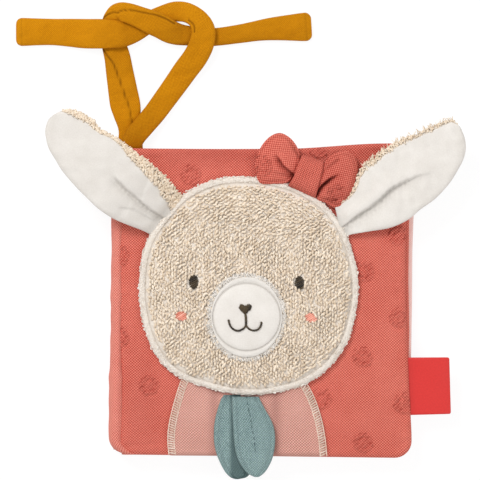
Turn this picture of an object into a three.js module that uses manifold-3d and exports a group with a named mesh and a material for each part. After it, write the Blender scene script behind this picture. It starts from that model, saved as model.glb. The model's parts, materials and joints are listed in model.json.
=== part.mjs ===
// Crinkle cloth book: a back cover, one inner leaf and a front cover, all padded, turn on a cloth spine.
// A stuffed toy head with two ears, a bow and a leaf collar is sewn on the front cover.
// The book lies on its back cover. X runs from the spine to the fore edge, Y up the page, Z up.
// The origin is on the underside of the back cover, in the middle of the closed book. Millimetres.

import * as THREE from 'three';
import { mergeVertices } from 'three/addons/utils/BufferGeometryUtils.js';
import Module from 'manifold-3d';

const wasm = await Module();
wasm.setup();

// The closed book
const bookWidth = 130.8;
const bookHeight = 133.8;
const boardThickness = 4.5;
const sewnGap = 0.3;
const clothThickness = 0.8;
const hemThickness = 1.4;
const boardEdgeRounding = 1.0;
const filmThickness = 0.3;
const foreCornerRadius = 5.6;
const spineCornerChamfer = 3.4;
const leafShortfall = 1.5;
const coverShortfall = 3.4;
const coverFlare = 2.6;
const coverTopRise = 1.3;

// The spine: a C of cloth round the pivot line, and how far the padded boards stay from it
const spineDepth = 4.0;
const leafSeamTongue = 2.2;

// The stuffed head on the front cover
const headRadius = 47.4;
const headHeight = 5.4;
const headCentreX = -5.2;
const headCentreY = 7.3;
const terryThickness = 1.4;
const backingThickness = 0.8;
const muzzleWidth = 30.6;
const muzzleHeight = 34.4;
const muzzleRise = 1.55;
const muzzleCentreX = -6.2;
const muzzleCentreY = -6.2;
const trimThickness = 0.5;
const eyeWidth = 4.1;
const eyeHeight = 6.0;
const eyeSpacing = 45.4;
const eyeCentreY = 8.6;
const eyeMiddleX = -6.2;
const cheekWidth = 5.8;
const cheekHeight = 4.3;
const cheekSpacing = 55.8;
const cheekCentreY = -6.1;
const cheekMiddleX = -6.35;
const noseWidth = 5.5;
const noseHeight = 4.1;
const noseCentreX = -6.9;
const noseCentreY = -2.8;
const mouthWidth = 14.0;
const mouthDrop = 4.0;
const mouthThread = 0.9;
const noseToMouthThread = 7.2;

// The ears
const earLength = 64.5;
const earWidth = 29.5;
const earLayerThickness = 1.9;
const earFoldHeight = 2.4;
const earRimClearance = 0.8;
const earBowClearance = 1.6;
const earLeftTurn = 142.6;
const earRightTurn = 34.4;
const earLeftRise = 11.3;
const earRightRise = 0.9;
const earBaseHeight = 2.0;

// The bow
const bowCentreX = 19.8;
const bowCentreY = 54.6;
const bowTurn = -14;
const bowLoopThickness = 5.4;
const bowLoopLength = 18.0;
const bowLoopWidth = 24.0;
const bowKnotThickness = 6.3;
const bowKnotLength = 15.0;
const bowKnotWidth = 11.6;

// The chest panel and the two leaves of the collar
const panelThickness = 0.8;
const panelTopWidth = 52.5;
const panelTopX = -7.2;
const panelTopY = -34.5;
const panelFullWidth = 65.2;
const panelFullX = -6.8;
const panelFullY = -52.5;
const panelBottomWidth = 66.8;
const panelBottomX = -5.6;
const panelHemMargin = 0.9;
const collarLeafLength = 33.6;
const collarLeafThickness = 1.6;
const collarLeftWidth = 14.6;
const collarRightWidth = 18.0;
const collarRimClearance = 2.4;
const collarLeftX = -15.2;
const collarRightX = -7.2;
const collarLeftTurn = 4.5;
const collarRightTurn = 9.5;

// The tufts drawn up in the cover cloth
const tuftRadius = 4.3;
const tuftHeight = 2.1;

// The ribbon label in the fore-edge seam
const labelWidth = 24.5;
const labelLength = 19.6;
const labelThickness = 1.0;
const labelCentreY = -35.7;
const labelTaper = 1.2;

// The two tie straps: flat jersey tubes on the surface beside the book, a strap's section and its rings
const strapWidth = 10.8;
const strapThickness = 2.8;
const strapSides = 10;
const strapSteps = 56;

// Roundness of lathed and swept forms
const discSegments = 36;
const tuftSegments = 14;
const curveSegments = 8;
const leafColumns = 4;
const loopColumns = 8;
const knotColumns = 6;
const earColumns = 6;
const weldDistance = 0.0003;

// Worked out from the sizes above
const spineX = -bookWidth / 2;
const foreX = bookWidth / 2;
const halfHeight = bookHeight / 2;
const boardPitch = boardThickness + sewnGap;
const leafBase = boardPitch;
const coverBase = boardPitch * 2;
const coverTop = coverBase + boardThickness;
const boardX = spineX + spineDepth;
const headBase = coverTop + sewnGap;
const headTop = headBase + headHeight;
const muzzleTop = headTop + muzzleRise;
const pivotZ = (muzzleTop + sewnGap + trimThickness) / 2;

const group = new THREE.Group();
const backCover = new THREE.Group();
const innerLeaf = new THREE.Group();
const frontCover = new THREE.Group();
const earLeft = new THREE.Group();
const earRight = new THREE.Group();
const collarLeft = new THREE.Group();
const collarRight = new THREE.Group();
group.add(backCover);
backCover.add(innerLeaf);
innerLeaf.add(frontCover);
frontCover.add(earLeft, earRight, collarLeft);
collarLeft.add(collarRight);

const fabric = (color, roughness) => new THREE.MeshStandardMaterial({ color, roughness, metalness: 0 });
const coralKnit = () => fabric(0xce685a, 0.9);
const bowKnit = () => fabric(0xd57264, 0.9);
const pinkKnit = () => fabric(0xca9184, 0.9);
const palePinkKnit = () => fabric(0xf2beb7, 0.9);
const mustardJersey = () => fabric(0xd18c18, 0.85);
const terryLoops = () => fabric(0xd4c3b1, 0.95);
const whiteVelour = () => fabric(0xe6e3dd, 0.9);
const tealCloth = () => fabric(0x677e7d, 0.9);
const whiteWadding = () => fabric(0xf2f0ec, 1.0);
const clearFilm = () => fabric(0xdfe3e6, 0.3);
const brownThread = () => fabric(0x554632, 0.6);
const salmonThread = () => fabric(0xd5977f, 0.8);
const redRibbon = () => fabric(0xe2413d, 0.5);

function addPiece(parent, name, geometry, material) {
  const mesh = new THREE.Mesh(geometry, material);
  mesh.name = name;
  parent.add(mesh);
  return mesh;
}

// Joins and cuts
function toSolid(geometry) {
  const bare = new THREE.BufferGeometry();
  bare.setAttribute('position', geometry.getAttribute('position').clone());
  if (geometry.index) bare.setIndex(geometry.index.clone());
  const merged = mergeVertices(bare, weldDistance);
  return new wasm.Manifold(new wasm.Mesh({
    numProp: 3,
    vertProperties: new Float32Array(merged.getAttribute('position').array),
    triVerts: new Uint32Array(merged.index.array),
  }));
}

function toGeometry(solid) {
  const mesh = solid.getMesh();
  const geometry = new THREE.BufferGeometry();
  geometry.setAttribute('position', new THREE.BufferAttribute(new Float32Array(mesh.vertProperties), 3));
  geometry.setIndex(new THREE.BufferAttribute(new Uint32Array(mesh.triVerts), 1));
  geometry.computeVertexNormals();
  return geometry;
}

function cutAway(geometry, ...spaces) {
  const solid = spaces.reduce((left, space) => left.subtract(toSolid(space)), toSolid(geometry));
  return toGeometry(solid);
}

// A flat slab between two heights, with its edge rounded by the given amount
function slab(shape, low, high, rounding = 0) {
  const geometry = new THREE.ExtrudeGeometry(shape, {
    depth: high - low - 2 * rounding,
    bevelEnabled: rounding > 0,
    bevelThickness: rounding,
    bevelSize: rounding,
    bevelOffset: -rounding,
    bevelSegments: 2,
    curveSegments,
  });
  return geometry.translate(0, 0, low + rounding);
}

// A soft pad drawn as a grid: place(v, u, side) gives a point, with v along it, u across it
// from -1 to 1, and side 1 on top
function pad(rows, columns, place) {
  const across = Array.from({ length: columns + 1 }, (_, j) => (2 * j) / columns - 1);
  const points = [];
  for (const side of [1, -1]) {
    for (const v of rows) {
      for (const u of across) points.push(place(v, u, side));
    }
  }
  const width = columns + 1;
  const layer = rows.length * width;
  const index = [];
  const quad = (a, b, c, d) => index.push(a, b, c, a, c, d);
  for (let i = 0; i < rows.length - 1; i += 1) {
    for (let j = 0; j < columns; j += 1) {
      const a = i * width + j;
      quad(a, a + width, a + width + 1, a + 1);
      quad(layer + a, layer + a + 1, layer + a + width + 1, layer + a + width);
    }
    const left = i * width;
    const right = left + columns;
    quad(left, layer + left, layer + left + width, left + width);
    quad(right, right + width, layer + right + width, layer + right);
  }
  const last = (rows.length - 1) * width;
  for (let j = 0; j < columns; j += 1) {
    quad(j, j + 1, layer + j + 1, layer + j);
    quad(last + j, layer + last + j, layer + last + j + 1, last + j + 1);
  }
  const geometry = new THREE.BufferGeometry().setFromPoints(points);
  geometry.setIndex(index);
  return faceOutward(geometry);
}

// A pad that was drawn mirrored is turned right side out
function faceOutward(geometry) {
  const points = geometry.getAttribute('position');
  const index = Array.from(geometry.index.array);
  const corner = [0, 1, 2].map(() => new THREE.Vector3());
  let volume = 0;
  for (let k = 0; k < index.length; k += 3) {
    corner.forEach((point, n) => point.fromBufferAttribute(points, index[k + n]));
    volume += corner[0].dot(corner[1].clone().cross(corner[2]));
  }
  if (volume < 0) geometry.setIndex(index.reverse());
  geometry.computeVertexNormals();
  return geometry;
}

// Reads a table of [at, low, high] rows at any place between them
function between(table, at, column) {
  const next = Math.max(1, table.findIndex((row) => row[0] >= at));
  const [from, to] = [table[next - 1], table[next]];
  return THREE.MathUtils.lerp(from[column], to[column], (at - from[0]) / (to[0] - from[0]));
}

// The outline of a board, drawn in by a margin all round
function boardShape(foreShort, flare, rise, margin) {
  const left = boardX + margin;
  const bottom = -halfHeight + margin;
  const topLeft = halfHeight - margin;
  const topRight = topLeft + rise;
  const rightTop = foreX - foreShort - margin;
  const rightBottom = rightTop + flare;
  const radius = foreCornerRadius - margin;
  const shape = new THREE.Shape();
  shape.moveTo(left, topLeft);
  shape.lineTo(left, bottom + spineCornerChamfer);
  shape.lineTo(left + spineCornerChamfer, bottom);
  shape.lineTo(rightBottom - radius, bottom);
  shape.absarc(rightBottom - radius, bottom + radius, radius, -Math.PI / 2, 0);
  shape.lineTo(rightTop, topRight - radius);
  shape.absarc(rightTop - radius, topRight - radius, radius, 0, Math.PI / 2);
  shape.lineTo(left, topLeft);
  return shape;
}

// One padded board: a hemmed outer cloth, a lining, wadding and a sheet of crackling film
function addBoard(parent, names, board) {
  const { base, facing, foreShort, flare, rise } = board;
  const span = (low, high) => (facing > 0
    ? [base + low, base + high]
    : [base + boardThickness - high, base + boardThickness - low]);
  const outline = (margin) => boardShape(foreShort, flare, rise, margin);
  const roof = boardThickness - clothThickness;
  const filmTop = roof - sewnGap;
  const filmLow = filmTop - filmThickness;
  const fillLow = clothThickness + sewnGap;
  const insideMargin = hemThickness + sewnGap;
  const body = slab(outline(0), ...span(0, boardThickness), boardEdgeRounding);
  const hollow = slab(outline(hemThickness), ...span(-clothThickness, roof));
  const outer = board.extra ? board.extra(body, hollow) : cutAway(body, hollow);
  const sheet = (low, high) => slab(outline(insideMargin), ...span(low, high));
  addPiece(parent, names.outer, outer, coralKnit());
  addPiece(parent, names.lining, sheet(0, clothThickness), palePinkKnit());
  addPiece(parent, names.wadding, sheet(fillLow, filmLow - sewnGap), whiteWadding());
  addPiece(parent, names.film, sheet(filmLow, filmTop), clearFilm());
}

// The room that the head takes on the cover, which smaller pieces are cut away from
const crownPowerShare = 1 / 3;
function crown(height, radius, at) {
  return height * (1 - (at / radius) ** 4) ** crownPowerShare;
}

const crownRadiusShares = [0, 0.3, 0.55, 0.72, 0.84, 0.92, 0.97, 0.993];
function crownProfile(height, radius) {
  return crownRadiusShares.map((share) => new THREE.Vector2(
    share * radius,
    crown(height, radius, share * radius),
  ));
}

function turned(profile, x, y, z) {
  const geometry = new THREE.LatheGeometry(profile, discSegments);
  return geometry.rotateX(Math.PI / 2).translate(x, y, z);
}

const centred = (height) => new THREE.Vector2(0, height);
function dome(height, radius, foot = 0) {
  return [centred(foot), new THREE.Vector2(radius, foot), ...crownProfile(height, radius).reverse()];
}

const headSpace = turned(dome(headHeight + sewnGap, headRadius + sewnGap, -sewnGap),
  headCentreX, headCentreY, headBase);

// Tufts: small gathered domes, in shares of the book's width and height from its middle
const panelTuftShare = [0.201, -0.310];
const bowTuftShare = [0.191, 0.492];
const tuftPlaceShares = [
  [-0.230, 0.410], [-0.368, -0.265], [-0.467, 0.150], [-0.467, -0.114], panelTuftShare,
  [0.336, -0.175], [0.336, -0.452], [0.452, 0.214], [0.452, -0.050], [0.462, -0.326],
  [0.339, 0.098], bowTuftShare,
];
const tuftProfileShares = [[0, 0.72], [0.3, 1], [0.62, 0.94], [0.88, 0.55], [1, 0]];

function tuft([shareX, shareY], extra = 0) {
  const skirt = clothThickness / 2;
  const profile = tuftProfileShares.map(([out, up]) => new THREE.Vector2(
    out * (tuftRadius + extra),
    up * (tuftHeight + extra) - (up === 0 ? skirt : 0),
  ));
  const points = [...profile.reverse()];
  points.unshift(centred(-skirt));
  const geometry = new THREE.LatheGeometry(points, tuftSegments).rotateX(Math.PI / 2);
  return geometry.translate(shareX * bookWidth, shareY * bookHeight, coverTop);
}

function tuftedCover(body, hollow) {
  const footprint = slab(boardShape(coverShortfall, coverFlare, coverTopRise, boardEdgeRounding),
    coverBase, coverTop + tuftHeight * 2);
  let tufts = tuft(tuftPlaceShares[0]);
  for (const place of tuftPlaceShares.slice(1)) tufts = toGeometry(toSolid(tufts).add(toSolid(tuft(place))));
  const kept = toSolid(tufts).intersect(toSolid(footprint)).subtract(toSolid(headSpace));
  return toGeometry(toSolid(body).subtract(toSolid(hollow)).add(kept));
}

// The three boards
addBoard(backCover, {
  outer: 'back_cover_outer',
  lining: 'back_cover_lining',
  wadding: 'back_cover_wadding',
  film: 'back_cover_crinkle_film',
}, { base: 0, facing: -1, foreShort: 0, flare: 0, rise: 0 });
addBoard(innerLeaf, {
  outer: 'leaf_front_cloth',
  lining: 'leaf_back_cloth',
  wadding: 'leaf_wadding',
  film: 'leaf_crinkle_film',
}, { base: leafBase, facing: 1, foreShort: leafShortfall, flare: 0, rise: 0 });
addBoard(frontCover, {
  outer: 'front_cover_outer',
  lining: 'front_cover_lining',
  wadding: 'front_cover_wadding',
  film: 'front_cover_crinkle_film',
}, {
  base: coverBase,
  facing: 1,
  foreShort: coverShortfall,
  flare: coverFlare,
  rise: coverTopRise,
  extra: tuftedCover,
});

// The cloth spine: quarter bends above and below the pivot line, and the tongue that the leaf is sewn in by
function spineBend(from, to, rise) {
  const centreX = boardX - sewnGap;
  const depth = spineDepth - sewnGap;
  const side = Math.sign(rise);
  const shape = new THREE.Shape();
  shape.absellipse(centreX, pivotZ, depth, side * rise, from, to, side > 0);
  shape.absellipse(centreX, pivotZ, depth - clothThickness, side * rise - clothThickness, to, from, side < 0);
  const length = bookHeight - spineCornerChamfer;
  const geometry = new THREE.ExtrudeGeometry(shape, { depth: length, bevelEnabled: false, curveSegments });
  return geometry.rotateX(Math.PI / 2).translate(0, halfHeight, 0);
}
const pivotSlack = sewnGap / spineDepth / 2;
addPiece(backCover, 'spine_lower',
  spineBend(Math.PI + pivotSlack, Math.PI * 1.5, -pivotZ), coralKnit());
addPiece(frontCover, 'spine_upper',
  spineBend(Math.PI - pivotSlack * 2, Math.PI / 2, coverTop - pivotZ), coralKnit());

const tongueShape = new THREE.Shape([
  new THREE.Vector2(boardX - leafSeamTongue, -halfHeight + spineCornerChamfer),
  new THREE.Vector2(boardX - sewnGap, -halfHeight + spineCornerChamfer),
  new THREE.Vector2(boardX - sewnGap, halfHeight - spineCornerChamfer),
  new THREE.Vector2(boardX - leafSeamTongue, halfHeight - spineCornerChamfer),
]);
addPiece(innerLeaf, 'leaf_seam_tape',
  slab(tongueShape, leafBase + clothThickness, leafBase + clothThickness * 2), coralKnit());

// The head: a terry shell, the wadding in it and the backing that closes it
function headShell() {
  const inner = crownProfile(headHeight - terryThickness, headRadius - terryThickness);
  const outer = crownProfile(headHeight, headRadius);
  const profile = [
    ...inner,
    new THREE.Vector2(headRadius - terryThickness, 0),
    new THREE.Vector2(headRadius, 0),
    ...outer.reverse(),
  ];
  return turned(profile, headCentreX, headCentreY, headBase);
}
addPiece(frontCover, 'head_front', headShell(), terryLoops());

const stuffingRadius = headRadius - terryThickness - sewnGap;
const backingProfile = [
  centred(0), new THREE.Vector2(stuffingRadius, 0),
  new THREE.Vector2(stuffingRadius, backingThickness), centred(backingThickness),
];
addPiece(frontCover, 'head_backing', turned(backingProfile, headCentreX, headCentreY, headBase), pinkKnit());

function headStuffing() {
  const foot = backingThickness + sewnGap;
  const top = headHeight - terryThickness - sewnGap;
  const profile = crownProfile(top, stuffingRadius).filter((point) => point.y > foot);
  const last = profile[profile.length - 1];
  return turned([centred(foot), new THREE.Vector2(last.x, foot), ...profile.reverse()],
    headCentreX, headCentreY, headBase);
}
addPiece(frontCover, 'head_wadding', headStuffing(), whiteWadding());

// The muzzle and the embroidered face, each seated on what is under it
function onHead(width, height, rise, x, y) {
  const foot = -headHeight / 2;
  const profile = dome(rise, 1, foot);
  const geometry = new THREE.LatheGeometry(profile, discSegments).rotateX(Math.PI / 2);
  geometry.scale(width / 2, height / 2, 1).translate(x, y, headTop);
  return cutAway(geometry, headSpace);
}
addPiece(frontCover, 'muzzle_pad',
  onHead(muzzleWidth, muzzleHeight, muzzleRise, muzzleCentreX, muzzleCentreY), whiteVelour());

for (const [side, name] of [[-1, 'left'], [1, 'right']]) {
  addPiece(frontCover, `eye_${name}`,
    onHead(eyeWidth, eyeHeight, trimThickness, eyeMiddleX + side * eyeSpacing / 2, eyeCentreY),
    brownThread());
  addPiece(frontCover, `cheek_${name}`,
    onHead(cheekWidth, cheekHeight, trimThickness, cheekMiddleX + side * cheekSpacing / 2, cheekCentreY),
    salmonThread());
}

const noseLow = muzzleTop + sewnGap;
const noseCurveShares = [
  [-0.5, -0.9, -1, 0, -1, 0.45], [-1, 1.1, -0.3, 1.15, 0, 0.75],
  [0.3, 1.15, 1, 1.1, 1, 0.45], [1, 0, 0.5, -0.9, 0, -1],
];
function noseShape() {
  const halves = [noseWidth / 2, noseHeight / 2];
  const shape = new THREE.Shape();
  shape.moveTo(0, -noseHeight / 2);
  for (const curve of noseCurveShares) {
    shape.bezierCurveTo(...curve.map((share, k) => share * halves[k % 2]));
  }
  return shape;
}
addPiece(frontCover, 'nose',
  slab(noseShape(), noseLow, noseLow + trimThickness).translate(noseCentreX, noseCentreY, 0), brownThread());

// The mouth: one line down from the nose and a smile of two arcs, joined
function mouthLine() {
  const stemTop = -noseHeight / 2 - sewnGap;
  const stemLow = -noseToMouthThread;
  const half = mouthThread / 2;
  const stem = new THREE.Shape([
    new THREE.Vector2(-half, stemLow), new THREE.Vector2(half, stemLow),
    new THREE.Vector2(half, stemTop), new THREE.Vector2(-half, stemTop),
  ]);
  const arcRadius = mouthWidth / 4;
  let solid = toSolid(slab(stem, noseLow, noseLow + trimThickness));
  for (const side of [-1, 1]) {
    const smile = new THREE.Shape();
    const arc = (grow, from, to, clockwise) => smile.absellipse(
      side * arcRadius,
      stemLow + half,
      arcRadius + grow,
      mouthDrop / 2 + grow,
      from,
      to,
      clockwise,
    );
    arc(half, Math.PI, 0, false);
    arc(-half, 0, Math.PI, true);
    solid = solid.add(toSolid(slab(smile, noseLow, noseLow + trimThickness)));
  }
  return toGeometry(solid).translate(noseCentreX, noseCentreY, 0);
}
addPiece(frontCover, 'mouth', mouthLine(), brownThread());

// The chest panel below the chin, cut round the head and the tuft beside it
function chestPanel() {
  const rows = [
    [panelTopX, panelTopWidth / 2, panelTopY],
    [panelFullX, panelFullWidth / 2, panelFullY],
    [panelBottomX, panelBottomWidth / 2, -halfHeight + panelHemMargin],
  ];
  const left = rows.map(([x, half, y]) => new THREE.Vector2(x - half, y));
  const right = rows.map(([x, half, y]) => new THREE.Vector2(x + half, y)).reverse();
  const sheet = slab(new THREE.Shape([...left, ...right]), headBase, headBase + panelThickness);
  return cutAway(sheet, headSpace, tuft(panelTuftShare, sewnGap));
}
addPiece(frontCover, 'chest_panel', chestPanel(), pinkKnit());

// The collar: two leaves hinged under the chin, the right one lying on the left one
const collarHingeY = headCentreY - headRadius - collarRimClearance;
const collarLeftLow = headBase + panelThickness + sewnGap;
const collarRightLow = collarLeftLow + collarLeafThickness + sewnGap;
const collarRowShares = [
  [0, -0.30, 0.30], [0.12, -0.38, 0.38], [0.3, -0.47, 0.47], [0.5, -0.5, 0.5],
  [0.7, -0.46, 0.46], [0.86, -0.34, 0.34], [0.96, -0.18, 0.18], [1, -0.07, 0.07],
];
function collarLeaf(width, low, x, turn) {
  const rows = collarRowShares.map((row) => row[0]);
  const geometry = pad(rows, leafColumns, (v, u, side) => {
    const half = between(collarRowShares, v, 2) * width;
    const thick = collarLeafThickness * (1 - u * u / 2);
    return new THREE.Vector3(u * half, -v * collarLeafLength, side > 0 ? thick : 0);
  });
  return geometry.rotateZ(THREE.MathUtils.degToRad(turn)).translate(x, collarHingeY, low);
}
addPiece(collarLeft, 'collar_leaf_left',
  collarLeaf(collarLeftWidth, collarLeftLow, collarLeftX, collarLeftTurn), tealCloth());
addPiece(collarRight, 'collar_leaf_right',
  collarLeaf(collarRightWidth, collarRightLow, collarRightX, collarRightTurn), tealCloth());

// The bow: two stuffed loops drawn together by a knot, beside the head's rim
const loopRowShares = [
  [0, -0.30, 0.33], [0.25, -0.38, 0.56], [0.5, -0.42, 0.61], [0.75, -0.35, 0.51],
  [0.92, -0.16, 0.34], [1, 0.02, 0.16],
];
const knotRowShares = [[0, -0.55, 0.47], [0.5, -0.5, 0.52], [1, -0.41, 0.46]];
const loopRingShares = [0, 0.12, 0.25, 0.5, 0.75, 0.92, 1];
const knotRingShares = [0, 0.25, 0.5, 0.75, 1];
const bowLow = headBase;
function bowPlace(geometry) {
  return geometry.rotateZ(THREE.MathUtils.degToRad(bowTurn)).translate(bowCentreX, bowCentreY, bowLow);
}

function bowKnot(extra) {
  const length = bowKnotLength + extra * 2;
  const geometry = pad(knotRingShares, knotColumns, (v, u, side) => {
    const low = between(knotRowShares, v, 1) * bowKnotWidth - extra;
    const high = between(knotRowShares, v, 2) * bowKnotWidth + extra;
    const crest = 1 - u ** 4 / 3 - (2 * v - 1) ** 4 / 5;
    const z = side > 0 ? bowKnotThickness * crest + extra : -extra;
    return new THREE.Vector3(THREE.MathUtils.lerp(low, high, (u + 1) / 2), (v - 0.5) * length, z);
  });
  return bowPlace(geometry);
}

// A loop of the bow; with extra room it is the upright space that the ear keeps clear of
function bowLoop(direction, extra = 0) {
  const start = bowKnotWidth / 3;
  const geometry = pad(loopRingShares, loopColumns, (v, u, side) => {
    const low = between(loopRowShares, v, 1) * bowLoopWidth - extra;
    const high = between(loopRowShares, v, 2) * bowLoopWidth + extra;
    const swell = (1 - u ** 4) * (1 - (2 * v - 1) ** 4 / 2);
    const middle = bowLoopThickness / 2;
    const half = extra > 0 ? bowLoopThickness * 2 : middle * (0.3 + 0.7 * swell);
    return new THREE.Vector3(
      direction * (start + v * (bowLoopLength + extra)),
      THREE.MathUtils.lerp(low, high, (u + 1) / 2),
      middle + side * half,
    );
  });
  return bowPlace(geometry);
}

const tuftUnderBow = tuft(bowTuftShare, sewnGap);
const seatedLoop = (direction) => cutAway(bowLoop(direction), bowKnot(sewnGap), headSpace, tuftUnderBow);
addPiece(frontCover, 'bow_loop_left', seatedLoop(-1), bowKnit());
addPiece(frontCover, 'bow_loop_right', seatedLoop(1), bowKnit());
addPiece(frontCover, 'bow_knot', cutAway(bowKnot(0), headSpace, tuftUnderBow), bowKnit());

// The ears: a velour front on a terry back, rising from a base seam at the head's rim
const earRowShares = [
  [0, 0.34, 0.34], [0.1, 0.46, 0.46], [0.25, 0.55, 0.53], [0.4, 0.6, 0.56],
  [0.55, 0.56, 0.57], [0.7, 0.5, 0.53], [0.8, 0.41, 0.51], [0.88, 0.31, 0.48],
  [0.94, 0.18, 0.4], [0.98, 0.03, 0.29], [1, -0.06, 0.16],
];
const earRiseEndShare = 0.42;
function addEar(parent, name, turn, mirror, rise) {
  const angle = THREE.MathUtils.degToRad(turn);
  const seamRadius = headRadius + earRimClearance;
  const foldFade = (v) => earFoldHeight * (1 - v);
  const rows = earRowShares.map((row) => row[0]);
  const layer = (low, high) => pad(rows, earColumns, (v, u, side) => {
    const lower = between(earRowShares, v, 1) * earWidth;
    const upper = between(earRowShares, v, 2) * earWidth;
    const across = THREE.MathUtils.lerp(-lower, upper, (u + 1) / 2) * mirror;
    const climb = rise * THREE.MathUtils.smoothstep(v, -earRiseEndShare / 2, earRiseEndShare);
    const edge = 1 - u ** 4 / 2;
    const fold = foldFade(v) * u * u;
    const up = side > 0 ? high : low;
    const lift = climb - rise * THREE.MathUtils.smoothstep(0, -earRiseEndShare / 2, earRiseEndShare);
    const mid = (low + high) / 2;
    return new THREE.Vector3(v * earLength, across, lift + fold + mid + (up - mid) * edge);
  });
  const set = (geometry) => geometry.rotateZ(angle).translate(
    headCentreX + Math.cos(angle) * seamRadius,
    headCentreY + Math.sin(angle) * seamRadius,
    headBase + earBaseHeight,
  );
  const half = sewnGap / 2;
  const bowRoom = bowLoop(1, earBowClearance);
  const back = cutAway(set(layer(-earLayerThickness - half, -half)), bowRoom);
  const front = cutAway(set(layer(half, earLayerThickness + half)), bowRoom);
  addPiece(parent, `${name}_terry_back`, back, terryLoops());
  addPiece(parent, `${name}_velour_front`, front, whiteVelour());
}
addEar(earLeft, 'ear_left', earLeftTurn, -1, earLeftRise);
addEar(earRight, 'ear_right', earRightTurn, 1, earRightRise);

// The label: a folded ribbon that stands out of the fore-edge seam
function labelRibbon() {
  const start = foreX - coverShortfall + coverFlare + sewnGap;
  const half = labelWidth / 2;
  const shape = new THREE.Shape([
    new THREE.Vector2(start, -half), new THREE.Vector2(start + labelLength, -half + labelTaper),
    new THREE.Vector2(start + labelLength, half - labelTaper), new THREE.Vector2(start, half),
  ]);
  const low = coverBase + clothThickness;
  return slab(shape, low, low + labelThickness).translate(0, labelCentreY, 0);
}
addPiece(frontCover, 'label_ribbon', labelRibbon(), redRibbon());

// The tie straps, joined by a half knot. Each route is a list of points from its seam in the back cover.
const strapRightRoute = [
  [-56.4, 67.6, 1.5], [-56.4, 69.4, 1.5], [-57.2, 72.6, 1.5], [-58.3, 78, 1.5], [-58.8, 84, 1.5],
  [-60, 91, 1.5], [-61.2, 98, 1.5], [-62.4, 104.5, 1.5], [-64.2, 110, 1.5], [-65.8, 115, 1.5],
  [-66.4, 119.6, 1.6], [-66.0, 123, 2.6], [-63.8, 126.2, 4.0], [-60.4, 127.2, 5.0], [-56.2, 126, 5.5],
  [-51.4, 123.4, 5.4], [-47, 121, 5.1], [-43, 119, 4.5], [-39.5, 117.0, 3.7], [-36, 115.8, 2.6],
  [-32, 115.2, 1.5], [-25, 114.4, 1.5], [-18, 114.8, 1.5], [-9, 116, 1.5], [4, 118, 1.5], [21.5, 119.1, 1.5],
];
const strapLeftRoute = [
  [-55.6, 67.6, 4.8], [-55.5, 69.4, 4.8], [-53.9, 72.2, 4.7], [-50.2, 76.6, 3.6], [-46, 81.6, 2.4],
  [-41.5, 87.8, 1.6], [-37, 94, 1.6], [-32.6, 100.2, 2.4], [-28.4, 106, 3.8], [-25.8, 111.6, 4.9],
  [-25.2, 117.2, 5.0], [-27.4, 122.4, 4.3], [-32, 126.2, 2.9], [-37.4, 126.8, 1.7], [-43, 124.2, 1.5],
  [-49, 120.6, 1.5], [-53.5, 117.7, 1.8], [-57, 116.1, 3.0], [-60.6, 115.2, 4.5], [-65.4, 115, 5.0],
  [-71, 115.2, 4.5], [-77, 115.8, 2.8], [-83, 116.3, 1.6], [-90, 116.7, 1.5], [-97, 116.8, 1.5],
  [-104, 116.8, 1.5],
];

// A strap lies flat: its width stays level however its route climbs and turns
class FlatRoute extends THREE.CatmullRomCurve3 {
  computeFrenetFrames(steps) {
    const up = new THREE.Vector3(0, 0, 1);
    const frames = { tangents: [], normals: [], binormals: [] };
    for (let k = 0; k <= steps; k += 1) {
      const tangent = this.getTangentAt(k / steps);
      const level = new THREE.Vector3().crossVectors(up, tangent).normalize();
      frames.tangents.push(tangent);
      frames.normals.push(new THREE.Vector3().crossVectors(tangent, level));
      frames.binormals.push(level.clone().negate());
    }
    return frames;
  }
}

function strap(route) {
  const section = Array.from({ length: strapSides }, (_, k) => {
    const angle = (2 * Math.PI * (k + 0.5)) / strapSides;
    return new THREE.Vector2((Math.cos(angle) * strapThickness) / 2, (Math.sin(angle) * strapWidth) / 2);
  });
  const path = new FlatRoute(route.map((point) => new THREE.Vector3(...point)), false, 'centripetal');
  console.log(`strap length ${path.getLength().toFixed(1)} mm`);
  return new THREE.ExtrudeGeometry(new THREE.Shape(section), { steps: strapSteps, extrudePath: path });
}
addPiece(backCover, 'tie_strap_right', strap(strapRightRoute), mustardJersey());
addPiece(backCover, 'tie_strap_left', strap(strapLeftRoute), mustardJersey());

export default group;
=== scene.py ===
# Crinkle cloth book, lying closed on its back cover, seen from straight above.
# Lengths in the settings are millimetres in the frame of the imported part: X to the fore edge, Y up the page.
import json
import math

import bmesh
import bpy
import numpy as np
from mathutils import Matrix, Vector
from mathutils.kdtree import KDTree

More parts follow.
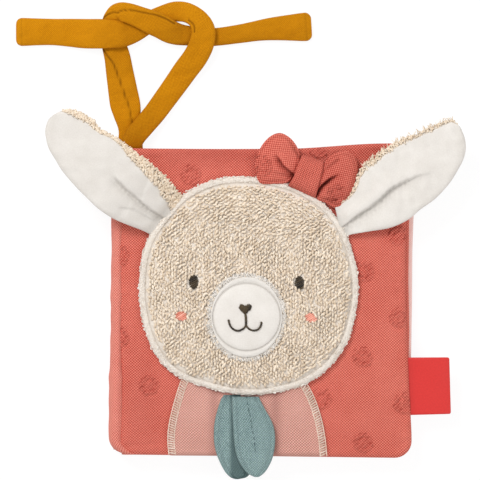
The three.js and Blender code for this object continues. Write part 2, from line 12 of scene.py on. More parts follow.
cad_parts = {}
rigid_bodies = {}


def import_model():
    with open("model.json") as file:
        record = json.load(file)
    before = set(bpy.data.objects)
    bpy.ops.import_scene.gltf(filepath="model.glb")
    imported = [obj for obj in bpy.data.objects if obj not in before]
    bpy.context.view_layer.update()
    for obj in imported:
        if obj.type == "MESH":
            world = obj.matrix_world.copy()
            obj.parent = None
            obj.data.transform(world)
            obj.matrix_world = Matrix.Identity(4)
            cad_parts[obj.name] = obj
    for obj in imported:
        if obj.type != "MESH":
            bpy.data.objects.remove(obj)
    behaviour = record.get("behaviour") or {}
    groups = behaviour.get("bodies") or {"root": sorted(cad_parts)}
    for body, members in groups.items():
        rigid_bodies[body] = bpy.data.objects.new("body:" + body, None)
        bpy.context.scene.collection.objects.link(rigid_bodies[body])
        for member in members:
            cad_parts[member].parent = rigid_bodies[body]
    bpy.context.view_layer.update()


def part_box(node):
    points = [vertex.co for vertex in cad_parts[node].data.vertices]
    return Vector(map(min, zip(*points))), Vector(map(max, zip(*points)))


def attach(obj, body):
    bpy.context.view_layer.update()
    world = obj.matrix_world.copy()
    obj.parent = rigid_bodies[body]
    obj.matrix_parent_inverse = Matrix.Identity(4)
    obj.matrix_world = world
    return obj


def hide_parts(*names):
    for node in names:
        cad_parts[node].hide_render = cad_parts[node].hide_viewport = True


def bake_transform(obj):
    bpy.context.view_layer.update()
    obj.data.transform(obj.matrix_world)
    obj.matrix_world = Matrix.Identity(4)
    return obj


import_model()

mm = 0.001
uvName = "millimetres"
scene = bpy.context.scene
print("frame loaded")

# The photograph's frame: 480 pixels square, and the pixel that the part's origin falls on
photo = {"pixels": 480, "originX": 261, "originY": 302.5, "scale": 0.43}


def fromPhoto(points):
    x, y = np.array(points, float).T
    return np.stack([x - photo["originX"], photo["originY"] - y], axis=1) * photo["scale"]


def nodeBox(name):
    return [np.array(corner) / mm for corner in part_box(name)]


def camelName(node):
    first, *rest = node.split("_")
    return first + "".join(word.capitalize() for word in rest)


def addObject(name, data):
    made = bpy.data.objects.new(name, data)
    scene.collection.objects.link(made)
    return made


def dress(piece, body, node):
    # the body that a piece rides, if any, and the solid that it stands for, which is hidden
    if body:
        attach(piece, body)
    if node:
        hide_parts(node)
    return piece


# Camera: a long lens straight above, so that heights hardly shift what is seen
lens = {"height": 2600, "sensor": 36, "plane": 14}


def makeCamera():
    data = bpy.data.cameras.new("overheadCamera")
    data.sensor_width = lens["sensor"]
    data.lens = lens["sensor"] * (lens["height"] - lens["plane"]) / (photo["pixels"] * photo["scale"])
    data.clip_start, data.clip_end = 0.05, 20
    camera = addObject("overheadCamera", data)
    middle = fromPhoto([[photo["pixels"] / 2, photo["pixels"] / 2]])[0]
    camera.location = (middle[0] * mm, middle[1] * mm, lens["height"] * mm)
    scene.camera = camera


makeCamera()


# Small tools for shapes
def travelled(line):
    return np.concatenate([[0], np.cumsum(np.linalg.norm(np.diff(line, axis=0), axis=1))])


def lengthOf(line):
    return np.linalg.norm(np.diff(line, axis=0), axis=1).sum()


def smoothLine(points, count):
    # a curve through the points, read at even steps along its length
    p = np.array(points, float)
    ends = np.concatenate([[2 * p[0] - p[1]], p, [2 * p[-1] - p[-2]]])
    t = np.linspace(0, 1, 13)[:-1][:, None]
    parts = [0.5 * (2 * b + (c - a) * t + (2 * a - 5 * b + 4 * c - d) * t**2 + (3 * b - a - 3 * c + d) * t**3)
             for a, b, c, d in zip(ends[:-3], ends[1:-2], ends[2:-1], ends[3:])]
    line = np.concatenate(parts + [p[-1:]])
    along = travelled(line)
    at = np.linspace(0, along[-1], count)
    return np.stack([np.interp(at, along, column) for column in line.T], axis=1)


def smoothStep(value, low, high):
    t = np.clip((value - low) / (high - low), 0, 1)
    return t * t * (3 - 2 * t)


def bell(value, width):
    return np.exp(-(value / width) ** 2)


def quarterRound(value):
    # rises from 0 to 1 along a quarter circle
    return np.sqrt(1 - (1 - np.clip(value, 0, 1)) ** 2)


def cornerCut(away, radius):
    # how far a rounded corner is drawn in at a distance from its end
    return radius * (1 - quarterRound(away / radius))


def unitRows(rows):
    return rows / np.maximum(np.linalg.norm(rows, axis=1), 1e-6)[:, None]


def sineSteps(count):
    # shares from 0 to 1, close together at both ends
    return np.sin(np.linspace(-1, 1, count) * math.pi / 2) * 0.5 + 0.5


def fullTurn(count):
    return np.linspace(0, 2 * math.pi, count, endpoint=False)


def onOval(centre, across, up, turn):
    return centre[0] + across * np.cos(turn), centre[1] + up * np.sin(turn)


def between(left, right, s):
    # x and y of a grid whose rows run from one line to another
    return [left[:, k:k + 1] + s * (right[:, k:k + 1] - left[:, k:k + 1]) for k in (0, 1)]


def ripple(x, y, size, seed, waves=9):
    # a smooth random swell of about one unit, with humps about size apart
    random = np.random.default_rng(seed)
    total = np.zeros_like(np.asarray(x, float) + np.asarray(y, float))
    for _ in range(waves):
        angle, phase = random.uniform(0, 2 * math.pi, 2)
        k = 2 * math.pi / (size * random.uniform(0.7, 1.5))
        total = total + np.sin((x * math.cos(angle) + y * math.sin(angle)) * k + phase)
    return total / math.sqrt(waves)


def toLine(x, y, line):
    # distance of each point from a chain of points, its side, and how far along it is
    best = np.full(np.shape(x), 1e9)
    side, along = np.zeros(np.shape(x)), np.zeros(np.shape(x))
    ends = travelled(line)
    for a, b, done, length in zip(line[:-1], line[1:], ends, np.diff(ends)):
        dx, dy = b - a
        t = np.clip(((x - a[0]) * dx + (y - a[1]) * dy) / length**2, 0, 1)
        away = np.hypot(x - a[0] - t * dx, y - a[1] - t * dy)
        near = away < best
        side = np.where(near, np.sign((x - a[0]) * dy - (y - a[1]) * dx), side)
        along = np.where(near, (done + t * length) / ends[-1], along)
        best = np.minimum(best, away)
    return best, side, along


def roundedSteps(width, rounding, step):
    # places across a width, close together at its rounded edges, with the height share at each
    quarter = np.linspace(0, math.pi / 2, 7)[:-1]
    edge = rounding * (1 - np.cos(quarter))
    inner = np.linspace(rounding, width - rounding, max(2, round((width - 2 * rounding) / step)))
    places = np.concatenate([edge, inner, (width - edge)[::-1]])
    heights = np.concatenate([np.sin(quarter), np.ones(len(inner)), np.sin(quarter)[::-1]])
    return places / width, heights


def makePiece(name, points, faces, cornerUvs, material, dent=None):
    # points are millimetres; the painted shade darkens the colour in creases, grooves and cast shadows
    mesh = bpy.data.meshes.new(name)
    mesh.from_pydata((np.asarray(points) * mm).tolist(), [], np.asarray(faces).tolist())
    mesh.uv_layers.new(name=uvName).data.foreach_set("uv", np.asarray(cornerUvs, np.float32).reshape(-1))
    values = np.zeros(len(points)) if dent is None else np.clip(dent, 0, 1).reshape(-1)
    mesh.attributes.new("dent", "FLOAT", "POINT").data.foreach_set("value", values.astype(np.float32))
    shape = bmesh.new()
    shape.from_mesh(mesh)
    bmesh.ops.remove_doubles(shape, verts=shape.verts, dist=2e-6)
    bmesh.ops.recalc_face_normals(shape, faces=shape.faces)
    shape.to_mesh(mesh)
    shape.free()
    mesh.shade_smooth()
    mesh.materials.append(material)
    return addObject(name, mesh)


def loftRings(name, rings, material, dent=None, zipped=False, planar=False):
    # rings is rows by points by 3, each row a closed ring; zipped rings are a top and a bottom half
    rows, count = rings.shape[:2]
    points = rings.reshape(-1, 3)
    i, j = np.meshgrid(np.arange(rows - 1), np.arange(count), indexing="ij")
    k = (j + 1) % count
    around = [i * count + j, i * count + k, (i + 1) * count + k, (i + 1) * count + j]
    faces = np.stack(around, -1).reshape(-1, 4)
    corners = points[:, :2][faces]
    if not planar:
        closed = np.concatenate([rings, rings[:, :1]], axis=1)
        across = np.cumsum(np.linalg.norm(np.diff(closed, axis=1), axis=2), axis=1)
        across = np.concatenate([np.zeros((rows, 1)), across], axis=1)
        middle = count // 4
        along = travelled(rings[:, middle])[:, None] * np.ones((1, count + 1))
        uv = np.stack([across - across[:, middle:middle + 1], along], -1)
        corners = np.stack([uv[i, j], uv[i, j + 1], uv[i + 1, j + 1], uv[i + 1, j]], -2).reshape(-1, 4, 2)
    if zipped:
        a = np.arange(count // 2 - 1)
        for start in (0, (rows - 1) * count):
            cap = start + np.stack([a, a + 1, count - 2 - a, count - 1 - a], -1)
            faces = np.concatenate([faces, cap])
            corners = np.concatenate([corners, points[:, :2][cap]])
    return makePiece(name, points, faces, corners, material, dent)


def loftSheet(name, top, bottom, material, shade=None):
    # a closed sheet whose rows run across its top and back along its underside; shade darkens the top
    dent = None if shade is None else np.concatenate([shade, 0 * shade], axis=1)
    return loftRings(name, np.concatenate([top, bottom[:, ::-1]], axis=1), material, dent, zipped=True)


def flatSheet(name, x, y, top, bottom, material, shade=None):
    return loftSheet(name, *(np.stack([x, y, z + 0 * x], -1) for z in (top, bottom)), material, shade)


def closeGrid(name, top, under, material, dent):
    # a grid closed underneath by rings drawn in from its border, each a share of its size and a height
    rows, columns = top.shape[:2]
    number = np.arange(rows * columns).reshape(rows, columns)
    squares = [number[:-1, :-1], number[:-1, 1:], number[1:, 1:], number[1:, :-1]]
    faces = [np.stack(squares, -1).reshape(-1, 4)]
    border = np.concatenate([number[0, :-1], number[:-1, -1], number[-1, :0:-1], number[:0:-1, 0]])
    points = [top.reshape(-1, 3)]
    edge = points[0][border]
    middle = edge[:, :2].mean(0)
    last, start = border, rows * columns
    for share, height in under:
        points.append(np.column_stack([middle + (edge[:, :2] - middle) * share, np.full(len(edge), height)]))
        ring = start + np.arange(len(border))
        faces.append(np.stack([last, ring, np.roll(ring, -1), np.roll(last, -1)], -1))
        last, start = ring, start + len(border)
    points, faces = np.concatenate(points), np.concatenate(faces)
    paintedShades = np.concatenate([dent.reshape(-1), np.zeros(len(points) - rows * columns)])
    return makePiece(name, points, faces, points[:, :2][faces], material, paintedShades)


# Small tools for materials and geometry trees
def linearColour(code):
    parts = [int(code[i:i + 2], 16) / 255 for i in (1, 3, 5)]
    return [c / 12.92 if c <= 0.04045 else ((c + 0.055) / 1.055) ** 2.4 for c in parts] + [1.0]


def addNode(tree, kind, inputs=(), **settings):
    # inputs by name or in order: a constant, a socket to link, or a node whose first output is linked
    node = tree.nodes.new(kind)
    for name, value in settings.items():
        setattr(node, name, value)
    for name, value in inputs.items() if isinstance(inputs, dict) else enumerate(inputs):
        if isinstance(value, bpy.types.Node):
            value = value.outputs[0]
        if isinstance(value, bpy.types.NodeSocket):
            tree.links.new(value, node.inputs[name])
        else:
            node.inputs[name].default_value = value
    return node


def newMaterial(name):
    material = bpy.data.materials.new(name)
    material.use_nodes = True
    material.node_tree.nodes.clear()
    return material, material.node_tree


def mixColours(tree, share, a, b):
    return addNode(tree, "ShaderNodeMix", {0: share, 6: a, 7: b}, data_type="RGBA").outputs[2]


def finishMaterial(tree, colour, height, bump, surface):
    # surface holds the constants for the shader's own sockets; bump is (strength, depth in mm)
    relief = addNode(tree, "ShaderNodeBump", {"Strength": bump[0], "Distance": bump[1] * mm,
                                              "Height": height})
    shader = addNode(tree, "ShaderNodeBsdfPrincipled", {"Base Color": colour, "Normal": relief, **surface})
    addNode(tree, "ShaderNodeOutputMaterial", [shader])


def makeKnitPattern():
    # single jersey's face: small pits between the stitches, each row set half a wale on from the last
    tree = bpy.data.node_groups.new("jerseyStitch", "ShaderNodeTree")
    for label, way, kind in (("Vector", "INPUT", "Vector"), ("Wale", "INPUT", "Float"),
                             ("Course", "INPUT", "Float"), ("Height", "OUTPUT", "Float")):
        tree.interface.new_socket(name=label, in_out=way, socket_type="NodeSocket" + kind)
    given = addNode(tree, "NodeGroupInput")
    parts = addNode(tree, "ShaderNodeSeparateXYZ", [given])
    waves = []
    for part, pitch in zip(parts.outputs, ("Wale", "Course")):
        share = addNode(tree, "ShaderNodeMath", [part, given.outputs[pitch]], operation="DIVIDE")
        turn = addNode(tree, "ShaderNodeMath", [share, 2 * math.pi], operation="MULTIPLY")
        waves.append(addNode(tree, "ShaderNodeMath", [turn], operation="SINE"))
    chequer = addNode(tree, "ShaderNodeMath", waves, operation="MULTIPLY")
    even = addNode(tree, "ShaderNodeMath", [chequer, -0.5, 0.5], operation="MULTIPLY_ADD")
    pits = addNode(tree, "ShaderNodeMath", [even, 1.5], operation="POWER")
    level = addNode(tree, "ShaderNodeMath", [pits, -1.5, 0.92], operation="MULTIPLY_ADD")
    addNode(tree, "NodeGroupOutput", [level])
    return tree


knitPattern = makeKnitPattern()


def clothStart(tree, drift):
    # the piece's own map in millimetres, with the slight drift of cloth that was never quite square
    place = addNode(tree, "ShaderNodeUVMap", uv_map=uvName)
    wander = addNode(tree, "ShaderNodeTexNoise", {"Vector": place, "Scale": 0.09, "Detail": 2})
    centred = addNode(tree, "ShaderNodeVectorMath", [wander.outputs["Color"], (0.5, 0.5, 0.5)],
                      operation="SUBTRACT")
    scaled = addNode(tree, "ShaderNodeVectorMath", {0: centred, "Scale": drift}, operation="SCALE")
    return addNode(tree, "ShaderNodeVectorMath", [place, scaled], operation="ADD")


def mixPaintedShade(tree, colour, darkest):
    # painted shade: the colour is drawn towards a darker one in creases, grooves and cast shadows, by the
    # amount given on each point
    dent = addNode(tree, "ShaderNodeAttribute", attribute_name="dent")
    amount = addNode(tree, "ShaderNodeMath", [dent.outputs["Fac"], 0.85], operation="MULTIPLY")
    return mixColours(tree, amount, colour, linearColour(darkest))


def jersey(name, light, dark, deep, wale, course, bump=(0.8, 0.3), drift=1.2, contrast=1.0, sheen=0.06,
           fuzziness=0.7):
    # cotton single jersey, knitted, piece dyed: matt, with a soft bloom at grazing angles.
    # Real wales are about 0.6 mm; they are drawn wider so that they show in the picture.
    material, tree = newMaterial(name)
    light, dark = linearColour(light), linearColour(dark)
    place = clothStart(tree, drift)
    stitch = addNode(tree, "ShaderNodeGroup", node_tree=knitPattern)
    for label, value in (("Wale", wale), ("Course", course)):
        stitch.inputs[label].default_value = value
    tree.links.new(place.outputs[0], stitch.inputs["Vector"])
    fuzz = addNode(tree, "ShaderNodeTexNoise", {"Vector": place, "Scale": 1.6, "Detail": 3, "Roughness": 0.7})
    fuzzy = addNode(tree, "ShaderNodeMath", [fuzz, fuzziness, -fuzziness / 2], operation="MULTIPLY_ADD")
    level = addNode(tree, "ShaderNodeMath", [stitch, contrast, (1 - contrast) / 2], operation="MULTIPLY_ADD")
    tone = addNode(tree, "ShaderNodeMath", [level, fuzzy], operation="ADD", use_clamp=True)
    cloud = addNode(tree, "ShaderNodeTexNoise", {"Vector": place, "Scale": 0.05, "Detail": 3})
    faded = addNode(tree, "ShaderNodeMapRange", [cloud, 0.3, 0.7, 0, 0.22])
    base = mixColours(tree, faded, mixColours(tree, tone, dark, light), light)
    finishMaterial(tree, mixPaintedShade(tree, base, deep), tone, bump, {
        "Roughness": 0.92, "Specular IOR Level": 0.12, "Sheen Weight": sheen, "Sheen Roughness": 0.4,
        "Sheen Tint": light})
    return material


def pile(name, light, dark, deep, grain, bump):
    # cut or looped pile: velour and terry, woven then sheared or left in loops; a dense soft nap
    material, tree = newMaterial(name)
    place = clothStart(tree, 0.6)
    fine = addNode(tree, "ShaderNodeTexNoise", {"Vector": place, "Scale": 1 / grain, "Detail": 4,
                                                "Roughness": 0.65})
    broad = addNode(tree, "ShaderNodeTexNoise", {"Vector": place, "Scale": 0.12, "Detail": 3})
    both = addNode(tree, "ShaderNodeMath", [broad, 0.5], operation="MULTIPLY")
    mixed = addNode(tree, "ShaderNodeMath", [fine, 0.6, both], operation="MULTIPLY_ADD")
    tone = addNode(tree, "ShaderNodeMapRange", [mixed, 0.3, 0.75])
    base = mixColours(tree, tone, linearColour(dark), linearColour(light))
    finishMaterial(tree, mixPaintedShade(tree, base, deep), fine, bump, {
        "Roughness": 0.95, "Specular IOR Level": 0.15, "Sheen Weight": 0.25, "Sheen Roughness": 0.4})
    return material


def yarn(name, light, dark, roughness=0.75, sheen=0.05, gloss=0.1):
    # twisted thread: each strand takes its own tone, with a fine twist across it
    material, tree = newMaterial(name)
    tint = addNode(tree, "ShaderNodeAttribute", attribute_name="tint")
    place = addNode(tree, "ShaderNodeTexCoord").outputs["Object"]
    twist = addNode(tree, "ShaderNodeTexNoise", {"Vector": place, "Scale": 900, "Detail": 2})
    grain = addNode(tree, "ShaderNodeMath", [twist, 0.5, -0.25], operation="MULTIPLY_ADD")
    tone = addNode(tree, "ShaderNodeMath", [tint.outputs["Fac"], grain], operation="ADD", use_clamp=True)
    finishMaterial(tree, mixColours(tree, tone, linearColour(dark), linearColour(light)), twist, (0.4, 0.1),
                   {"Roughness": roughness, "Sheen Weight": sheen, "Specular IOR Level": gloss})
    return material


# each cloth's third colour is the colour that its painted shade darkens towards
coral = jersey("coral cotton jersey", "#ff9987", "#b1382a", "#86211a", 1.24, 1.16, sheen=0.5)
# the spine's roll: the same coral jersey in lighter colours, a painted highlight along the roll
litCoralRoll = jersey("coral jersey rolled on the spine", "#ffac9c", "#c45546", "#86211a", 1.24, 1.16, sheen=0.5)
bowJersey = jersey("coral jersey of the bow", "#ff9583", "#ae3829", "#5e160e", 1.2, 1.12, (0.9, 0.3))
pinkJersey = jersey("dusty pink jersey", "#fdc6b8", "#ac6e61", "#8a544c", 1.24, 1.16)
palePink = jersey("pale pink jersey lining", "#ffebe6", "#ffc5bb", "#b77a72", 1.0, 0.95, (0.4, 0.2))
mustard = jersey("mustard jersey tube", "#dd950c", "#a96500", "#5e3500", 0.85, 0.85, (0.6, 0.18), 0.8, 0.6,
                 0.02, 1.2)
teal = jersey("grey teal brushed cotton", "#b4cbca", "#3f5e5d", "#2c4042", 1.15, 1.15, (0.8, 0.25), 1.2,
              0.65, 0.1, 2.4)
velour = pile("off-white cotton velour", "#ece7e1", "#dad4cc", "#7d756b", 0.55, (0.4, 0.3))
terryBase = pile("terry ground cloth", "#e2d2c0", "#b9a28b", "#7c6a5c", 0.8, (0.6, 0.5))
terryRim = pile("terry pressed flat at the seam", "#f6efe6", "#dccfc0", "#9b8a79", 0.6, (0.8, 0.5))
wadding = pile("polyester wadding", "#f7f6f4", "#e9e7e4", "#cfccc8", 2.0, (0.8, 1.0))
terryYarn = yarn("greige terry loop yarn", "#faecd9", "#dcc8af")
rimYarn = yarn("paler terry yarn of the seam", "#fbf6ef", "#dccfc1")
velourYarn = yarn("off-white velour fibre", "#f6f2ed", "#dad2c8")
paleYarn = yarn("cream sewing thread", "#f6e6d8", "#dcc0ac")
brownYarn = yarn("dark brown embroidery thread", "#55462f", "#110b06", 0.5, 0.1, 0.25)
salmonYarn = yarn("salmon embroidery thread", "#ffbfab", "#d27a64", 0.6)
tealYarn = yarn("dark teal sewing thread", "#4c6364", "#33484a")


def makeRibbon():
    # satin ribbon, woven from polyester: close warp threads give a soft gloss along its length
    settings = {"light": "#d92d28", "dark": "#c01c18", "deep": "#a0201b", "thread": 0.5}
    material, tree = newMaterial("red satin ribbon")
    place = addNode(tree, "ShaderNodeUVMap", uv_map=uvName)
    warp = addNode(tree, "ShaderNodeTexWave", {"Vector": place, "Scale": 0.5 / settings["thread"],
                                               "Distortion": 0.6, "Detail": 1}, bands_direction="Y")
    speck = addNode(tree, "ShaderNodeTexNoise", {"Vector": place, "Scale": 1.4, "Detail": 2})
    tone = addNode(tree, "ShaderNodeMath", [warp.outputs["Fac"], 0.35, speck], operation="MULTIPLY_ADD",
                   use_clamp=True)
    base = mixColours(tree, tone, linearColour(settings["dark"]), linearColour(settings["light"]))
    finishMaterial(tree, mixPaintedShade(tree, base, settings["deep"]), tone, (0.25, 0.08),
                   {"Roughness": 0.45, "Specular IOR Level": 0.4, "Sheen Weight": 0.1})
    return material


def makeFilm():
    # crackling film: thin oriented polyester, cut flat and crumpled; glossy facets
    material, tree = newMaterial("crackling polyester film")
    place = addNode(tree, "ShaderNodeUVMap", uv_map=uvName)
    facets = addNode(tree, "ShaderNodeTexVoronoi", {"Vector": place, "Scale": 0.12})
    base = mixColours(tree, facets, linearColour("#dfe4e8"), linearColour("#f3f6f8"))
    finishMaterial(tree, base, facets, (0.8, 1.0), {"Roughness": 0.2, "IOR": 1.57})
    return material


ribbonSatin = makeRibbon()
film = makeFilm()
print("materials made")


# What repeats on the cloth: loops, stitches and satin threads, each set on points by one geometry tree
def makeRepeatTree():
    tree = bpy.data.node_groups.new("repeatOnCloth", "GeometryNodeTree")
    for label, kind in (("Geometry", "Geometry"), ("Unit", "Object"), ("Size", "Float"),
                        ("Turn Jitter", "Float"), ("Size Jitter", "Float"), ("Seed", "Int"),
                        ("Material", "Material")):
        tree.interface.new_socket(name=label, in_out="INPUT", socket_type="NodeSocket" + kind)
    tree.interface.new_socket(name="Geometry", in_out="OUTPUT", socket_type="NodeSocketGeometry")
    given = addNode(tree, "NodeGroupInput").outputs
    aim, up, grow = (addNode(tree, "GeometryNodeInputNamedAttribute", {"Name": label},
                             data_type="FLOAT_VECTOR") for label in ("aim", "up", "grow"))
    turned = addNode(tree, "FunctionNodeAxesToRotation", {"Primary Axis": up, "Secondary Axis": aim},
                     primary_axis="Z", secondary_axis="X")
    back = addNode(tree, "ShaderNodeMath", [given["Turn Jitter"], -1], operation="MULTIPLY")
    spread = addNode(tree, "FunctionNodeRandomValue", {0: back, 1: given["Turn Jitter"],
                                                       "Seed": given["Seed"]}, data_type="FLOAT_VECTOR")
    extra = addNode(tree, "FunctionNodeEulerToRotation", [spread])
    aimed = addNode(tree, "FunctionNodeRotateRotation", [turned, extra], rotation_space="LOCAL")
    low, high = (addNode(tree, "ShaderNodeMath", [1, given["Size Jitter"]], operation=way)
                 for way in ("SUBTRACT", "ADD"))
    vary = addNode(tree, "FunctionNodeRandomValue", {2: low, 3: high, "Seed": given["Seed"]},
                   data_type="FLOAT")
    scaled = addNode(tree, "ShaderNodeMath", [vary.outputs[1], given["Size"]], operation="MULTIPLY")
    size = addNode(tree, "ShaderNodeVectorMath", {0: grow, "Scale": scaled}, operation="SCALE")
    unit = addNode(tree, "GeometryNodeObjectInfo", {"Object": given["Unit"]}).outputs["Geometry"]
    placed = addNode(tree, "GeometryNodeInstanceOnPoints", {"Points": given["Geometry"], "Instance": unit,
                                                            "Rotation": aimed, "Scale": size})
    real = addNode(tree, "GeometryNodeRealizeInstances", [placed])
    addNode(tree, "NodeGroupOutput", [addNode(tree, "GeometryNodeSetMaterial", {
        "Geometry": real, "Material": given["Material"]})])
    return tree


repeatTree = makeRepeatTree()


def makeUnit(name, stations, radii, count, lift):
    # a short thread along X, one millimetre long and thick, arched by lift; its grow sets the real size
    turn = (np.arange(count) + 0.5) * 2 * math.pi / count
    rings = [np.stack([np.full(count, x), radius * np.cos(turn),
                       radius * np.sin(turn) + lift * (1 - (2 * x) ** 2)], -1)
             for x, radius in zip(stations, radii)]
    unit = loftRings(name, np.array(rings), paleYarn)
    unit.hide_render = True
    return unit


stitchUnit = makeUnit("stitchUnit", (-0.5, -0.4, 0, 0.4, 0.5), (0, 0.36, 0.5, 0.36, 0), 6, 0.15)
loopUnit = makeUnit("loopUnit", (-0.5, -0.38, 0, 0.38, 0.5), (0, 0.4, 0.5, 0.4, 0), 4, 0.55)
threadUnit = makeUnit("threadUnit", (-0.5, -0.44, -0.2, 0.2, 0.44, 0.5), (0, 0.34, 0.5, 0.5, 0.34, 0), 5, 0.2)


def repeatOnCloth(name, unit, material, rows, seed, turnJitter, sizeJitter, up=(0, 0, 1)):
    # rows of a place, an aim and a size, being length, width and height, and an up where they differ
    mesh = bpy.data.meshes.new(name + "Points")
    mesh.from_pydata((np.array([row[0] for row in rows]) * mm).tolist(), [], [])
    for label, values in (("aim", [row[1] for row in rows]), ("grow", [row[2] for row in rows]),
                          ("up", [row[3] if len(row) > 3 else up for row in rows])):
        flat = np.array(values, np.float32).reshape(-1)
        mesh.attributes.new(label, "FLOAT_VECTOR", "POINT").data.foreach_set("vector", flat)
    tints = np.random.default_rng(seed).uniform(0.1, 0.9, len(rows)).astype(np.float32)
    mesh.attributes.new("tint", "FLOAT", "POINT").data.foreach_set("value", tints)
    holder = addObject(name + "Points", mesh)
    modifier = holder.modifiers.new("repeat", "NODES")
    modifier.node_group = repeatTree
    named = {item.name: item.identifier for item in repeatTree.interface.items_tree if item.in_out == "INPUT"}
    for label, value in (("Unit", unit), ("Size", 1.0), ("Turn Jitter", turnJitter),
                         ("Size Jitter", sizeJitter), ("Seed", seed), ("Material", material)):
        modifier[named[label]] = value
    made = bpy.data.meshes.new_from_object(holder.evaluated_get(bpy.context.evaluated_depsgraph_get()))
    made.name = name
    holder.modifiers.remove(modifier)
    bpy.data.objects.remove(holder)
    made.shade_smooth()
    return addObject(name, made)


# Padded cloth: a coarse closed copy is blown up as cloth, and how it settles is carried to the fine meshes
settling = {"frames": 20, "neighbours": 6, "smoothing": 2, "stiffness": 12.0, "bending": 0.2, "mass": 0.0006}


def readRows(items, field, width, kind=np.float32):
    flat = np.zeros(len(items) * width, kind)
    items.foreach_get(field, flat)
    return flat.reshape(-1, width)


def coordinates(mesh):
    return readRows(mesh.vertices, "co", 3).astype(float) / mm


def movePoints(mesh, points):
    mesh.vertices.foreach_set("co", (points * mm).astype(np.float32).reshape(-1))
    mesh.update()


def settle(label, pieces, voxel, pressure, cap):
    # returns a function that moves a piece's points by what the cloth near them did, at most cap millimetres
    gathered = bmesh.new()
    for piece in pieces:
        gathered.from_mesh(piece.data)
    pad = addObject(label + "Copy", bpy.data.meshes.new(label + "Copy"))
    gathered.to_mesh(pad.data)
    gathered.free()
    coarse = pad.modifiers.new("coarse", "REMESH")
    coarse.mode = "VOXEL"
    coarse.voxel_size = voxel * mm
    pad.data = bpy.data.meshes.new_from_object(pad.evaluated_get(bpy.context.evaluated_depsgraph_get()))
    pad.modifiers.clear()
    before = coordinates(pad.data)
    facts = pad.modifiers.new("cloth", "CLOTH").settings
    facts.use_pressure, facts.uniform_pressure_force = True, pressure
    facts.mass, facts.quality = settling["mass"], 4
    facts.tension_stiffness = facts.compression_stiffness = settling["stiffness"]
    facts.bending_stiffness = settling["bending"]
    facts.effector_weights.gravity = 0
    for step in range(1, settling["frames"] + 1):
        scene.frame_set(step)
    moved = coordinates(pad.evaluated_get(bpy.context.evaluated_depsgraph_get()).data) - before
    a, b = readRows(pad.data.edges, "vertices", 2, np.int32).T
    for _ in range(settling["smoothing"]):
        total, count = moved.copy(), np.ones((len(moved), 1))
        for one, other in ((a, b), (b, a)):
            np.add.at(total, one, moved[other])
            np.add.at(count, one, 1)
        moved = total / count
    scene.frame_set(1)
    bpy.data.objects.remove(pad)
    upper = before[:, 2] > before[:, 2].mean()
    print(label, len(before), "points, most moved", np.abs(moved).max(0).round(2))
    moved[:, 2] -= np.where(upper, np.percentile(moved[upper, 2], 90), np.percentile(moved[~upper, 2], 10))
    size = np.linalg.norm(moved, axis=1)
    share = min(1, cap / np.percentile(size, 98))
    moved *= share * np.minimum(1, 1.4 * cap / np.maximum(size * share, 1e-9))[:, None]
    tree = KDTree(len(before))
    for number, place in enumerate(before):
        tree.insert(place, number)
    tree.balance()

    def carry(piece):
        points = coordinates(piece.data)
        for number, place in enumerate(points):
            found = tree.find_n(place, settling["neighbours"])
            weights = np.array([1 / (away * away + 0.3) for _, _, away in found])
            points[number] += weights @ moved[[index for _, index, _ in found]] / weights.sum()
        movePoints(piece.data, points)

    for piece in pieces:
        carry(piece)
    return carry


